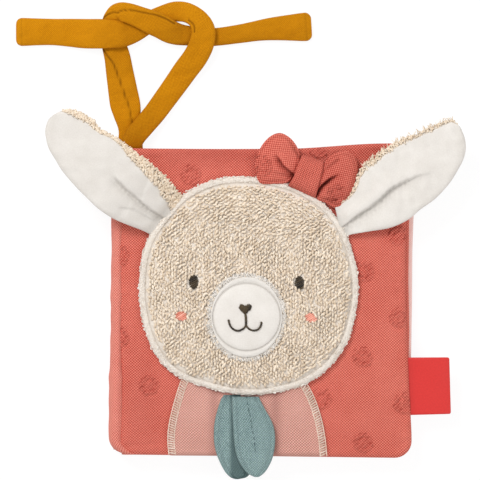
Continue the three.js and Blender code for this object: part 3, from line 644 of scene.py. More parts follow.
# The tie straps: jersey tubes, turned right side out and pressed, sewn flat at their ends
straps = {
    "diameter": 10.8, "thickness": 3.4, "sides": 64, "stations": 240, "endRounding": 2.8,
    "right": {
        "route": [
            [-56.4, 67.6, 1.5], [-56.4, 69.4, 1.5], [-57.2, 72.6, 1.5], [-58.3, 78, 1.5], [-58.8, 84, 1.5],
            [-60, 91, 1.5], [-61.2, 98, 1.5], [-62.4, 104.5, 1.5], [-64.2, 110, 1.5], [-65.8, 115, 1.5],
            [-66.4, 119.6, 1.6], [-66, 123, 2.6], [-63.8, 126.2, 4], [-60.4, 127.2, 5], [-56.2, 126, 5.5],
            [-51.4, 123.4, 5.4], [-47, 121, 5.1], [-43, 119, 4.5], [-39.5, 117, 3.7], [-36, 115.8, 2.6],
            [-32, 115.2, 1.5], [-25, 114.4, 1.5], [-18, 114.8, 1.5], [-9, 116, 1.5], [4, 118, 1.5],
            [21.5, 119.1, 1.5],
        ],
        "halves": [[0, 5.2, 3.4], [0.02, 5.2, 4.4], [0.055, 3.3, 5.6], [0.08, 4.8, 6.4], [0.115, 6.3, 7],
                   [0.175, 5.8, 6.6], [0.24, 5.3, 6.2], [0.275, 4.6, 6.4], [0.33, 3.6, 5.6],
                   [0.356, 2.4, 5.6], [0.38, 1.9, 6.1], [0.406, 1.9, 6.2], [0.43, 2.2, 6.1],
                   [0.46, 2.9, 6], [0.497, 4.1, 5.4], [0.53, 5, 5.5], [0.56, 5.3, 5.3], [0.587, 5.2, 5.2],
                   [0.64, 4.3, 4.3], [0.686, 3.9, 3.9], [0.733, 3.8, 3.9], [0.79, 4, 4], [0.84, 4.3, 4.3],
                   [0.885, 4.9, 4.9], [0.94, 5.6, 5.6], [0.98, 6.2, 6.2], [1.02, 6.2, 6.2]],
        "seam": [[0.04, -3], [0.11, -2], [0.165, -0.5], [0.185, 0], [0.24, 1.5], [0.275, 3.4], [0.3, 4.2],
                 [0.36, 3], [0.42, -2.3], [0.44, -1.2], [0.455, -0.4], [0.47, 0.5], [0.5, 1.9], [0.53, 3.4],
                 [0.56, 3.9], [0.59, 3.9]],
        "shade": [[0, 0.3], [0.05, 0], [0.1, 0], [0.22, 0.12], [0.3, 0.2], [0.42, 0], [0.55, 0.1],
                  [0.62, 0.3], [0.66, 0.2], [0.8, 0.16], [1, 0.1]],
        "tail": 0.4,
        "seed": 5,
    },
    "left": {
        "route": [
            [-55.6, 67.6, 4.8], [-55.5, 69.4, 4.8], [-53.9, 72.2, 4.7], [-50.2, 76.6, 3.6], [-46, 81.6, 2.4],
            [-41.5, 87.8, 1.6], [-37, 94, 1.6], [-32.6, 100.2, 2.4], [-28.4, 106, 3.8], [-25.8, 111.6, 4.9],
            [-25.2, 117.2, 5], [-27.4, 122.4, 4.3], [-32, 126.2, 2.9], [-37.4, 126.8, 1.7], [-43, 124.2, 1.5],
            [-49, 120.6, 1.5], [-53.5, 117.7, 1.8], [-57, 116.1, 3], [-60.6, 115.2, 4.5], [-65.4, 115, 5],
            [-71, 115.2, 4.5], [-77, 115.8, 2.8], [-83, 116.3, 1.6], [-90, 116.7, 1.5], [-97, 116.8, 1.5],
            [-104, 116.8, 1.5],
        ],
        "halves": [[0, 4.4, 4.6], [0.09, 4.7, 4.7], [0.18, 4.9, 5], [0.27, 5.3, 5.3], [0.37, 5.2, 5.6],
                   [0.41, 4.7, 5.6], [0.442, 4.3, 4.4], [0.483, 5.6, 3.2], [0.521, 5.8, 2.9],
                   [0.563, 4.8, 3.8], [0.61, 4.5, 4.6], [0.646, 4.6, 5.4], [0.673, 4.9, 6],
                   [0.7, 5.3, 6.4], [0.733, 5.4, 7.1], [0.771, 5.7, 7.2], [0.813, 6.2, 6.6],
                   [0.854, 5.9, 6.2], [0.902, 5.6, 5.7], [0.949, 5.8, 5.8], [1.02, 6.3, 6.2]],
        "seam": [[0.4, 3.6], [0.43, 2.8], [0.46, 3.4]],
        "shade": [[0, 0.4], [0.06, 0.25], [0.2, 0.05], [0.4, 0.06], [0.5, 0], [0.6, 0.12], [0.68, 0.1],
                  [0.8, 0]],
        "tail": 1.8,
        "seed": 8,
    },
}


def makeStrap(side):
    facts = straps[side]
    path = smoothLine(facts["route"], straps["stations"])
    length = lengthOf(path)
    onward = unitRows(path[-1:] - path[-2:-1])
    sewn = path[-1] + onward * np.linspace(0, facts["tail"], 14)[1:, None]
    root = path[0] + np.linspace(1, 0, 6)[:-1, None] * [0.1, -2.6, 2.4 - path[0][2]]
    line = np.concatenate([root, path, sewn])
    tangent = unitRows(np.gradient(line, axis=0))
    level = unitRows(np.cross([0, 0, 1.0], tangent))
    normal = np.cross(tangent, level)
    gone = travelled(line)
    at, left = (gone - gone[len(root)]) / length, gone[-1] - gone
    shares, leftHalf, rightHalf = np.array(facts["halves"]).T
    drawnIn = cornerCut(left, straps["endRounding"])
    padded = (np.pad(np.interp(at, shares, half), 4, "edge") for half in (leftHalf, rightHalf))
    leftHalf, rightHalf = (np.convolve(half, np.ones(9) / 9, "valid") - drawnIn for half in padded)
    closing = 0.45 + 0.55 * smoothStep(left, 0, 3.2)
    turn = fullTurn(straps["sides"])
    across = np.sign(np.cos(turn)) * np.abs(np.cos(turn)) ** 0.85
    up = np.sign(np.sin(turn)) * np.abs(np.sin(turn)) ** 0.75
    offset = np.where(across > 0, across * leftHalf[:, None], across * rightHalf[:, None])
    grid = line[:, None] + level[:, None] * offset[..., None]
    half = straps["thickness"] / 2 * closing[:, None] * np.ones_like(up)
    lump = ripple(grid[..., 0], grid[..., 1], 10, facts["seed"]) * 0.26
    lump += ripple(grid[..., 0], grid[..., 1], 4, facts["seed"] + 1) * 0.1
    high = np.where(up > 0, up * (half + lump + 0.2), up * half)
    seamAt = np.interp(at, *zip(*facts["seam"]), left=99, right=99)[:, None]
    groove = bell(offset - seamAt, 0.34) * (up > 0)
    hem = bell(left[:, None] - 2.4, 0.35) * (up > 0) * 0.5
    rings = grid + normal[:, None] * (high - groove * 0.6 - hem * 0.4)[..., None]
    rings[..., 2] = np.maximum(rings[..., 2], 0.02)
    # painted shade: in the seam groove, at the hem, and broad shade along the strap from its shade table
    worn = np.interp(at, *zip(*facts["shade"]))[:, None] + 0 * groove
    ends = [np.repeat(rings[k].mean(0)[None], len(turn), 0)[None] for k in (0, -1)]
    flat = np.zeros((1, len(turn)))
    node = "tie_strap_" + side
    strap = loftRings(camelName(node), np.concatenate([ends[0], rings, ends[1]]), mustard,
                      np.concatenate([flat, groove * 0.75 + hem * 0.4 + worn, flat]))
    dress(strap, "back_cover", node)


makeStrap("right")
makeStrap("left")
print("straps made")

# Small tufts drawn up in the cover cloth, and how the boards are sewn
tufts = {
    "pixels": [[191, 175], [149, 385], [119, 256], [119, 338], [363, 357], [322, 399], [363, 443], [399, 236],
               [399, 318], [403, 404], [364, 272], [319, 148]],
    "outer": {"count": 10, "radius": 3.5, "size": 0.72, "height": 1.25},
    "inner": {"count": 4, "radius": 1.4, "size": 0.6, "height": 1.05},
    # broad patches of painted shade over the cover: pixel place, width, height and amount
    "worn": [[330, 150, 150, 14, 0.3], [200, 152, 60, 16, 0.2], [140, 415, 26, 60, 0.24],
             [360, 430, 40, 40, 0.12], [385, 300, 30, 90, 0.06]],
}


def tuftRelief(x, y, places, seed=3):
    # a flower of small puckers: two rings of little bumps, with the cloth drawn in between and round them
    random = np.random.default_rng(seed)
    high, dent = np.zeros(np.shape(x)), np.zeros(np.shape(x))
    for px, py in places:
        away = np.hypot(x - px, y - py)
        near = away < 7
        dx, dy, r = x[near] - px, y[near] - py, away[near]
        lift = 0.2 * np.exp(-(r / 4.4) ** 6) - 0.36 * bell(r - 2.45, 0.5)
        lift = lift - 0.26 * bell(r - 4.6, 0.5)
        # painted shade in the groove between the two rings
        shade = 0.1 * bell(r - 2.45, 0.45)
        for ring in (tufts["outer"], tufts["inner"]):
            phase = random.uniform(0, 2 * math.pi)
            for k in range(ring["count"]):
                angle = phase + 2 * math.pi * (k + random.uniform(-0.22, 0.22)) / ring["count"]
                out = ring["radius"] * random.uniform(0.88, 1.12)
                bx, by = dx - out * math.cos(angle), dy - out * math.sin(angle)
                gap = np.hypot(bx, by)
                bump = bell(gap, ring["size"] * random.uniform(0.85, 1.25))
                lift = lift + ring["height"] * random.uniform(0.6, 1.2) * bump
                # painted shadow in a thin ring round each bump, on its upper left side
                shadedSide = smoothStep(by - 0.8 * bx, 0.1, 0.9) * random.uniform(0.45, 1.1)
                shade = shade * (1 - 0.7 * bump) + 0.85 * bell(gap - ring["size"] * 1.25, 0.3) * shadedSide
        high[near] += lift
        dent[near] += np.clip(shade, 0, 1)
    return high, dent


def coverRelief(x, y):
    # the tufts, and broad patches of painted shade where the cover lies darker
    high, dent = tuftRelief(x, y, fromPhoto(tufts["pixels"]))
    for px, py, wide, tall, amount in tufts["worn"]:
        middle = fromPhoto([[px, py]])[0]
        across, up = (x - middle[0]) / (wide * photo["scale"]), (y - middle[1]) / (tall * photo["scale"])
        dent = dent + amount * np.exp(-(across**2 + up**2))
    return high, dent


# Each board's nodes are its outer cloth, lining, wadding and film
boards = {
    "cloth": 0.6, "seamShare": 0.45, "cornerRadius": 7.4, "chamfer": 4.5, "innerRise": 1.9, "innerInset": 1.2,
    "slots": ["coral_knit", "pale_lining", "wadding", "crinkle_film"], "fills": [0.45, 0.3, 0.3, None],
    "back": {"body": "back_cover", "facing": -1, "step": 1.5, "rounding": 1, "rise": 1.6, "drawn": 1.7,
             "seed": 31, "nodes": ["back_cover_outer", "back_cover_lining", "back_cover_wadding",
                                   "back_cover_crinkle_film"],
             "fore": [[-67, 64.1], [-48, 64.2], [-22, 64.9], [0, 65.3], [22, 65.45], [37, 66], [67, 66]]},
    "leaf": {"body": "inner_leaf", "facing": 1, "step": 1.5, "rounding": 1.3, "rise": 1.7, "drawn": 1.9,
             "seed": 32, "nodes": ["leaf_front_cloth", "leaf_back_cloth", "leaf_wadding",
                                   "leaf_crinkle_film"],
             "fore": [[-67, 63.1], [-40, 63.2], [-12, 64], [9, 63.6], [37, 63.9], [67, 64.2]]},
    "front": {"body": "front_cover", "facing": 1, "step": 0.5, "rounding": 2.3, "rise": 1.75, "drawn": 1.4,
              "seed": 33, "nodes": ["front_cover_outer", "front_cover_lining", "front_cover_wadding",
                                    "front_cover_crinkle_film"],
              "fore": [[-67, 64.9], [-56, 64.8], [-48, 64.4], [-39, 63.9], [-22, 63.2], [-12, 62.7],
                       [9, 62.2], [23, 62.3], [37, 62.6], [67, 63.3]]},
}


def boardPlan(key, low, high, inset, step, inner=False):
    # x and y of a board's grid, its edge heights and its shares, with the outline drawn in by inset
    facts = boards[key]
    rise = boards["innerRise"] if inner else facts["rise"]
    left, right = low[0] + inset, high[0] - inset
    bottom, top = low[1] + inset, high[1] - rise - inset
    s, hs = roundedSteps(right - left, facts["rounding"], step)
    t, ht = roundedSteps(top - bottom, facts["rounding"], step)
    y = bottom + t * (top - bottom)
    rowLeft = left + cornerCut(y - bottom, boards["chamfer"])
    fore = np.interp(y, *zip(*facts["fore"])) - inset
    if inner:
        fore = np.minimum(fore, right - 0.6)
    elif key == "front":
        rowLeft = rowLeft + 0.5 * rise * np.sin(t * math.pi * 2.2)
    rowRight = fore - cornerCut(np.minimum(y - bottom, top - y), max(boards["cornerRadius"] - inset, 1))
    x = rowLeft[:, None] + s[None] * (rowRight - rowLeft)[:, None]
    lift = rise * smoothStep(s, 0.62, 0.97)[None] * smoothStep(t, 0.5, 1)[:, None]
    sag = 0.5 * rise * np.sin(s * math.pi * 1.3)[None] * smoothStep(t, 0.93, 1)[:, None]
    drawn = facts["drawn"] * ((1 - s)[None] * smoothStep(1 - t, 0.5, 1)[:, None])
    y = y[:, None] + lift + drawn - sag * 0.4
    return x, y, ht[:, None] * hs[None], s[None] + 0 * x, t[:, None] + 0 * x


def boardHalf(key, name, material, up):
    # one cloth of a board: sewn to the other at mid height and crowned by the wadding
    facts = boards[key]
    low, high = nodeBox(facts["nodes"][0])
    top = high[2] - (2.1 if key == "front" else 0)
    seam = low[2] + (top - low[2]) * boards["seamShare"]
    swell = (top - seam) if up else (seam - low[2])
    x, y, edge, s, t = boardPlan(key, low, high, 0.0 if up else 0.15, facts["step"])
    crown = 0.86 + 0.14 * (1 - (2 * s - 1) ** 6) * (1 - (2 * t - 1) ** 6)
    lump = ripple(x, y, 26, facts["seed"]) * 0.14 + ripple(x, y, 11, facts["seed"] + 5) * 0.06
    rim = bell((1 - edge) * 3, 1)
    nearEdge = np.minimum(np.minimum(s, 1 - s), np.minimum(t, 1 - t)) * 130
    pucker = ripple(x, y, 4.5, facts["seed"] + 9) * 0.13 * bell(nearEdge - 3, 2.4)
    rise = swell * crown * edge + (lump + pucker) * rim * edge
    dent = np.zeros_like(x)
    # the front cover's face takes the tufts' relief and their painted shade
    if key == "front" and up:
        more, dent = coverRelief(x, y)
        rise = rise + more * edge
    sign = 1 if up else -1
    outer = np.stack([x, y, np.maximum(seam + sign * rise, 0.02)], -1)
    inside = sign * max(swell * 0.8 - boards["cloth"], 0.1)
    under = [(0.985, seam + inside * 0.3), (0.96, seam + inside), (0.5, seam + inside), (0.0, seam + inside)]
    return closeGrid(name, outer, under, material, dent)


def innerLayer(key, node, name, material, size, seed):
    # wadding or film: a loose layer held between the two cloths
    low, high = nodeBox(node)
    x, y, edge = boardPlan(key, low, high, boards["innerInset"], 3.0, inner=True)[:3]
    less = 0.35 * (key == "front")
    swell = (high[2] - low[2]) / 2 - less
    middle = (high[2] + low[2]) / 2 - less
    wave = ripple(x, y, size, seed) * 0.1
    top, bottom = (middle + sign * swell * edge**0.5 + wave * edge for sign in (1, -1))
    return flatSheet(name, x, y, top, bottom, material)


def makeBoard(key):
    facts = boards[key]
    title = camelName(facts["body"])
    facing = facts["facing"] > 0
    outer = boardHalf(key, title + "Cloth", coral, facing)
    lining = boardHalf(key, title + "Lining", palePink, not facing)
    filling = innerLayer(key, facts["nodes"][2], title + "Wadding", wadding, 9, facts["seed"] + 1)
    crackle = innerLayer(key, facts["nodes"][3], title + "Film", film, 14, facts["seed"] + 2)
    if key == "front":
        settle(title, [outer, lining], voxel=2.4, pressure=0.3, cap=0.6)
    for piece, node, slot, fill in zip((outer, lining, filling, crackle), facts["nodes"], boards["slots"],
                                       boards["fills"]):
        dress(piece, facts["body"], node)


for board in ("back", "leaf", "front"):
    makeBoard(board)
print("boards made")

# The cloth spine: a roll down the left side, in an upper and a lower half, and the leaf's seam tape
spine = {
    "thickness": 0.9, "overlap": 2, "turnLine": [-65, 11.1],
    "upper": [[-60.9, 12.2], [-61.3, 13.3], [-62.3, 14.1], [-63.5, 13.9], [-64.5, 12.9], [-65, 11.3]],
    "lower": [[-65, 10.9], [-65.6, 8.4], [-65.7, 5.2], [-65.2, 2.4], [-63.9, 0.8], [-61.4, 0.45]],
    "bumps": [[1.5, 0.5], [-32, 0.6], [34, 0.2]],
    "lean": [[-56, 0.1], [-42, 0.4], [-16, 0.9], [30, 1.3], [67, 1.3]], "footRounding": 7, "footFrom": -58,
}


def makeSpine(part):
    node = "spine_" + part
    path = smoothLine(spine[part], 26)
    low, high = nodeBox(node)
    long = high[1] - low[1] + spine["overlap"]
    t, height = roundedSteps(long, 1.8, 1.2)
    y = low[1] - spine["overlap"] + t * long
    tangent = unitRows(np.gradient(path, axis=0))
    out = np.stack([-tangent[:, 1], tangent[:, 0]], -1)
    if out[len(out) // 2, 0] > 0:
        out = -out
    bulge = sum(size * bell(y - at, 2.6) for at, size in spine["bumps"])
    wave = (ripple(y, 0 * y, 12, 41) * 0.16 + bulge + 0.5 * bell(y + 40, 16))[:, None]
    shrink = 1 - (1 - height) * 0.25
    below = np.clip(spine["footFrom"] - y, 0, spine["footRounding"] * 0.98)
    lean = np.interp(y, *zip(*spine["lean"]))
    lean = lean + cornerCut(spine["footRounding"] - below, spine["footRounding"])
    x = path[None, :, 0] + out[None, :, 0] * wave * 0.6 + lean[:, None]
    if part == "upper":
        x = x + 0.9 * bell(y + 52, 18)[:, None] * np.linspace(1, 0, 26)[None] ** 2
    z = 11.0 + (path[None, :, 1] - 11.0) * shrink[:, None] + out[None, :, 1] * wave * 0.3
    outer = np.stack([x, y[:, None] + 0 * x, z], -1)
    across, up = out[None, :, 0] + 0 * x, out[None, :, 1] + 0 * x
    inner = outer - np.stack([across, 0 * x, up], -1) * spine["thickness"]
    for face in (outer, inner):
        face[..., 2] = np.maximum(face[..., 2], 0.02)
    piece = loftSheet(camelName(node), outer, inner, litCoralRoll)
    dress(piece, None, node)
    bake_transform(piece)


makeSpine("lower")
makeSpine("upper")


def makeSeamTape():
    node = "leaf_seam_tape"
    low, high = nodeBox(node)
    s, hs = roundedSteps(high[0] - low[0], 0.4, 0.6)
    t, ht = roundedSteps(high[1] - low[1], 0.8, 2.0)
    x = low[0] + s[None] * (high[0] - low[0]) + 0 * t[:, None]
    y = low[1] + t[:, None] * (high[1] - low[1]) + 0 * x
    edge = ht[:, None] * hs[None]
    half = (high[2] - low[2]) / 2
    middle = (high[2] + low[2]) / 2 + ripple(x, y, 10, 44) * 0.06
    tape = flatSheet(camelName(node), x, y, middle + half * edge, middle - half * edge, coral)
    dress(tape, "inner_leaf", node)


makeSeamTape()
print("spine made")

# The head: a stuffed disc of terry, pressed flat in a band round its seam
head = {
    "radius": 47.6, "band": 44.6, "centre": [-5.2, 7.3], "foot": 14.4, "edgeLoops": 620, "bandLoops": 3600,
    "profile": [[0, 4.5], [20, 4.42], [32, 4.1], [38, 3.7], [42, 3.1], [43.6, 2.55], [44.4, 2.1], [44.8, 2],
                [45.3, 2.3], [46.2, 2.35], [47, 2], [47.5, 1.3], [47.6, 0.6], [47.2, 0.1]],
    "loopPitch": [1.14, 1.66], "loop": [2.1, 1.12, 1.25],
    "outline": [[0, 111.3], [16, 110.4], [32, 112.5], [45, 113.4], [60, 112], [75, 110.5], [90, 110.2],
                [105, 112.9], [117, 113.6], [126, 114], [133, 112.7], [141, 111], [154, 113.5],
                [177, 111.2], [198, 113.4], [208, 116.1], [220, 118.5], [229, 118.4], [237, 115.4],
                [249, 111.3], [271, 111], [288, 112.5], [300, 115.4], [315, 116.6], [330, 115.4],
                [342, 112.5], [356, 111.4], [360, 111.3]],
}


def headGrowth(angle):
    # how far the head's outline stands out at each angle, as a share of its plain radius
    degrees, pixels = zip(*head["outline"])
    around = np.degrees(angle) % 360
    near = sum(np.interp((around + step) % 360, degrees, pixels) for step in (-5, -2, 0, 2, 5)) / 5
    return (near * photo["scale"] - 0.75) / head["radius"]


def headRadius(x, y):
    dx, dy = x - head["centre"][0], y - head["centre"][1]
    return np.hypot(dx, dy) / headGrowth(np.arctan2(dy, dx))


def headHeight(x, y):
    return head["foot"] + np.interp(headRadius(x, y), *zip(*head["profile"]))


def lathe(name, profile, turns, material, growth=1.0, shadeRadius=None):
    turn = fullTurn(turns)
    rings, paintedShades = [], []
    for radius, z in profile:
        out = radius * growth
        rings.append(np.stack([*onOval(head["centre"], out, out, turn), z + 0 * turn], -1))
        # a ring of painted shade at the given radius
        paintedShades.append(np.full(turns, 0.6 * bell(radius - shadeRadius, 0.35) if shadeRadius else 0.0))
    return loftRings(name, np.array(rings), material, np.array(paintedShades), planar=True)


def makeHead():
    foot = head["foot"]
    profile = [(r, foot + z) for r, z in smoothLine(head["profile"], 90)]
    profile += [(46.0, foot + 0.05), (30.0, foot + 0.05), (0.0, foot + 0.05)]
    # painted shade in the groove at the inner edge of the pressed band
    pad = lathe("headTerry", profile, 300, terryRim, headGrowth(fullTurn(300)), head["band"] + 0.2)
    points = readRows(pad.data.vertices, "co", 3)
    x, y = points[:, 0] / mm, points[:, 1] / mm
    bump = ripple(x, y, 3.0, 51) * 0.12 + ripple(x, y, 14, 52) * 0.12
    points[:, 2] += np.where(points[:, 2] > (foot + 0.5) * mm, bump * mm, 0)
    pad.data.vertices.foreach_set("co", points.reshape(-1))
    dress(pad, "front_cover", "head_front")
    low, high = (corner[2] for corner in nodeBox("head_backing"))
    profile = [(0, high), (45.0, high), (45.4, (low + high) / 2), (45.0, low + 0.1), (0, low + 0.1)]
    dress(lathe("headBacking", profile, 72, pinkJersey), "front_cover", "head_backing")
    low, high = (corner[2] for corner in nodeBox("head_wadding"))
    high = high - 0.2
    profile = [(0, high), (28, high - 0.3), (40, high - 1.1), (43, low + 0.8), (43.4, low), (0, low)]
    dress(lathe("headWadding", profile, 72, wadding), "front_cover", "head_wadding")


makeHead()

muzzle = {
    "centre": [-6.2, -6.2], "half": [15.3, 17.2], "foot": 18.3, "top": 21.3, "seam": [0.945, 0.84],
    "fibres": 2000, "turns": 160,
}


def fromMuzzle(x, y):
    return [(value - middle) / half for value, middle, half in zip((x, y), muzzle["centre"], muzzle["half"])]


def muzzleShare(x, y):
    # 0 in the middle of the muzzle, 1 at its edge
    return np.hypot(*fromMuzzle(x, y))


def muzzleOval(share, turn):
    return onOval(muzzle["centre"], muzzle["half"][0] * share, muzzle["half"][1] * share, turn)


def flow(x, y):
    # which way the terry's rows run: upright in the middle, drawn round level towards the top of the head
    upper = smoothStep(y - head["centre"][1], 14, 34)
    aside = (x - head["centre"][0]) / head["radius"]
    upright = 1.35 + 0.45 * np.sin(x * 0.11 + y * 0.05) * np.cos(y * 0.09)
    level = 0.1 - 0.9 * aside
    return upright * (1 - upper) + level * upper


def makeLoops():
    # rows of terry loops, leaning over each other, left out under the muzzle and the face's stitches
    random = np.random.default_rng(11)
    acrossStep, alongStep = head["loopPitch"]
    reach = head["band"] - 1.0
    places = []
    for column, px in enumerate(np.arange(-reach, reach, acrossStep)):
        rows = np.arange(-reach + (column % 2) * alongStep / 2, reach, alongStep)
        places.append(np.stack([np.full(len(rows), px), rows], -1))
    flat = np.concatenate(places)
    flat = flat * 1.06 + random.normal(0, 0.22, flat.shape) + head["centre"]
    flat = flat[headRadius(*flat.T) < reach + 0.4]
    flat = flat[muzzleShare(*flat.T) > 1.0]
    for x, y, wide, high in faceMarks:
        flat = flat[np.hypot((flat[:, 0] - x) / wide, (flat[:, 1] - y) / high) > 1]
    x, y = flat.T
    angle = flow(x, y) + random.normal(0, 0.46, len(x))
    lean = random.uniform(0.0, 0.35, len(x))
    aims = np.stack([np.cos(angle), np.sin(angle), lean], -1)
    spots = np.stack([x, y, headHeight(x, y) + random.uniform(-0.1, 0.16, len(x))], -1)
    rows = [(spot, aim, head["loop"]) for spot, aim in zip(spots, aims)]
    loops = repeatOnCloth("headLoops", loopUnit, terryYarn, rows, 12, 0.25, 0.22)
    dress(loops, "front_cover", None)
    # the rim: finer loops round the edge, then flat ones over the pressed band
    turn = fullTurn(head["edgeLoops"])
    turn = turn + random.normal(0, 0.008, len(turn))
    out = (head["radius"] - 0.35 + random.normal(0, 0.22, len(turn))) * headGrowth(turn)
    x, y = onOval(head["centre"], out, out, turn)
    z = head["foot"] + random.uniform(0.6, 1.9, len(turn))
    rows = [(place, (-math.sin(a), math.cos(a), 0), (1.2, 0.45, 0.6), (math.cos(a), math.sin(a), 0.5))
            for *place, a in zip(x, y, z, turn)]
    band = random.uniform(0, 2 * math.pi, head["bandLoops"])
    out = random.uniform(head["band"] + 0.6, head["radius"] - 0.3, len(band)) * headGrowth(band)
    x, y = onOval(head["centre"], out, out, band)
    lie = band + random.normal(0, 0.9, len(band))
    z = headHeight(x, y) - 0.12
    rows += [(place, (-math.sin(b), math.cos(b), 0), (1.0, 0.3, 0.34),
              (0.3 * math.cos(a), 0.3 * math.sin(a), 1)) for *place, a, b in zip(x, y, z, band, lie)]
    fringe = repeatOnCloth("headRimLoops", loopUnit, rimYarn, rows, 13, 0.4, 0.25)
    dress(fringe, "front_cover", None)


# The face's embroidery: height is above the base, lift above the head, mark what the loops keep clear of
sides = ("left", "right")
eyes = {"places": [[-28.9, 8.8], [16.5, 8.4]], "halves": [[2.05, 3], [2.05, 2.9]], "mark": [2.2, 3],
        "slant": 0.55, "pitch": 0.78, "thick": 0.8, "lift": 0.45, "seed": 71}
cheeks = {"places": [[-34.2, -5.8], [21.5, -6.5]], "halves": [[2.6, 1.95], [2.6, 1.95]], "mark": [2.4, 1.6],
          "slant": 0.55, "pitch": 0.72, "thick": 0.85, "lift": 0.5, "seed": 73}
nose = {"outline": [[245.2, 314.6], [241.2, 310.6], [238.8, 307.2], [239.6, 304.8], [242.2, 304.2],
                    [245, 305.8], [248, 304], [250.8, 304.8], [251.4, 307.4], [249, 310.8], [245.2, 314.6]],
        "slant": 1.15, "pitch": 0.55, "thick": 0.72, "height": 21.55}
mouth = {"lines": [[[245.4, 313.5], [246, 319], [246, 325.5]],
                   [[228.6, 319.6], [230.2, 325.2], [234, 329.3], [238.6, 330.4], [243, 328.6], [246, 325.2]],
                   [[246, 325.2], [249.4, 328.8], [253.6, 330.2], [258, 329], [260.6, 325.6],
                    [261.4, 321.8]]],
         "pitch": 0.8}
faceMarks = [[*place, *facts["mark"]] for facts in (eyes, cheeks) for place in facts["places"]]


def satin(name, outline, facts, material, seed, node):
    # satin stitch: close parallel threads across an outline, each as long as the outline is there
    aim = np.array([math.cos(facts["slant"]), math.sin(facts["slant"])])
    side = np.array([-aim[1], aim[0]])
    middle = outline.mean(0)
    across, along = (outline - middle) @ side, (outline - middle) @ aim
    spots, sizes = [], []
    for level in np.arange(across.min() + facts["pitch"] * 0.5, across.max(), facts["pitch"]):
        crossings = sorted(c + (d - c) * (level - a) / (b - a)
                           for a, b, c, d in zip(across, np.roll(across, -1), along, np.roll(along, -1))
                           if (a - level) * (b - level) < 0)
        for start, stop in zip(crossings[::2], crossings[1::2]):
            spots.append(middle + side * level + aim * (start + stop) / 2)
            sizes.append([stop - start + 0.5, facts["thick"], facts["thick"] * 0.9])
    x, y = np.array(spots).T
    heights = facts["height"] + 0 * x if "height" in facts else headHeight(x, y) + facts["lift"]
    rows = [(place, (*aim, 0), size) for place, size in zip(np.stack([x, y, heights], -1), sizes)]
    dress(repeatOnCloth(name, threadUnit, material, rows, seed, 0.05, 0.04), "front_cover", node)


def ellipse(middle, half):
    return np.stack(onOval(middle, *half, fullTurn(40)), -1)


def muzzleSeam(x, y):
    # where the seam lies between the middle and the edge: close to the sides, well inside at top and bottom
    across, up = fromMuzzle(x, y)
    angle = np.arctan2(up, across)
    return 1 / np.hypot(np.cos(angle) / muzzle["seam"][0], np.sin(angle) / muzzle["seam"][1])


def muzzleHeight(x, y):
    share, seam = np.clip(muzzleShare(x, y), 0, 1), muzzleSeam(x, y)
    dome = 0.3 + 0.7 * (1 - (share / seam) ** 5).clip(0) ** 0.5
    puffed = 0.3 + 0.3 * np.sin(np.clip((share - seam) / (1 - seam), 0, 1) * 2.6)
    height = 0.4 + 0.6 * np.where(share > seam, puffed, dome)
    return muzzle["foot"] + (muzzle["top"] - muzzle["foot"]) * height


def makeMuzzle():
    turn = fullTurn(muzzle["turns"])
    shares = np.concatenate([np.linspace(0, 0.78, 24), np.linspace(0.79, 1.0, 44)])
    rings, paintedShades = [], []
    for share in shares:
        x, y = muzzleOval(share, turn)
        z = muzzleHeight(x, y) + ripple(x, y, 7, 61) * 0.06 + ripple(x, y, 2.2, 62) * 0.06 * (share > 0.86)
        if share == shares[-1]:
            z = z - 0.5
        rings.append(np.stack([x, y, z], -1))
        # painted shade along the seam's groove, and a little over the puffed rim outside it
        past = share - muzzleSeam(x, y)
        paintedShades.append(0.36 * bell(past, 0.026) + 0.05 * np.clip(past / 0.03, 0, 1))
    for share in (0.98, 0.5, 0.0):
        rings.append(np.stack([*muzzleOval(share, turn), np.full(len(turn), muzzle["foot"] - 0.3)], -1))
        paintedShades.append(0 * turn)
    pad = loftRings("muzzleVelour", np.array(rings), velour, np.array(paintedShades), planar=True)
    dress(pad, "front_cover", "muzzle_pad")
    random = np.random.default_rng(63)
    turn = random.uniform(0, 2 * math.pi, muzzle["fibres"])
    count = len(turn)
    share = random.uniform(0.94, 1.09, count)
    share = share + 0.05 * np.clip(-np.cos(turn), 0, 1) * random.uniform(0, 1, count)
    x, y = muzzleOval(share, turn)
    lie = turn + random.normal(0, 0.7, count)
    z = np.where(share > 1, headHeight(x, y) + 0.75, muzzle["foot"] + 1.1) + random.uniform(0, 0.5, count)
    rows = [(place, (math.cos(a), math.sin(a), 0.1), (long, 0.24, 0.3))
            for place, a, long in zip(np.stack([x, y, z], -1), lie, random.uniform(1.0, 2.2, count))]
    fibres = repeatOnCloth("muzzleFibres", threadUnit, velourYarn, rows, 64, 0.3, 0.2)
    dress(fibres, "front_cover", None)


def makeMouth():
    # small back stitches along the smile, and the stem up to the nose
    rows = []
    for number, line in enumerate(mouth["lines"]):
        path = smoothLine(fromPhoto(line), 60)
        places = smoothLine(path, max(3, round(lengthOf(path) / mouth["pitch"])) * 2 + 1)
        for before, place, after in zip(places[:-2:2], places[1:-1:2], places[2::2]):
            step = after - before
            rows.append(((*place, float(muzzleHeight(*place)) + 0.22), (*step, 0),
                         (np.linalg.norm(step) * 1.5, 0.95 if number else 1.1, 0.8)))
    stitches = repeatOnCloth("mouthStitches", threadUnit, brownYarn, rows, 76, 0.05, 0.03)
    dress(stitches, "front_cover", "mouth")


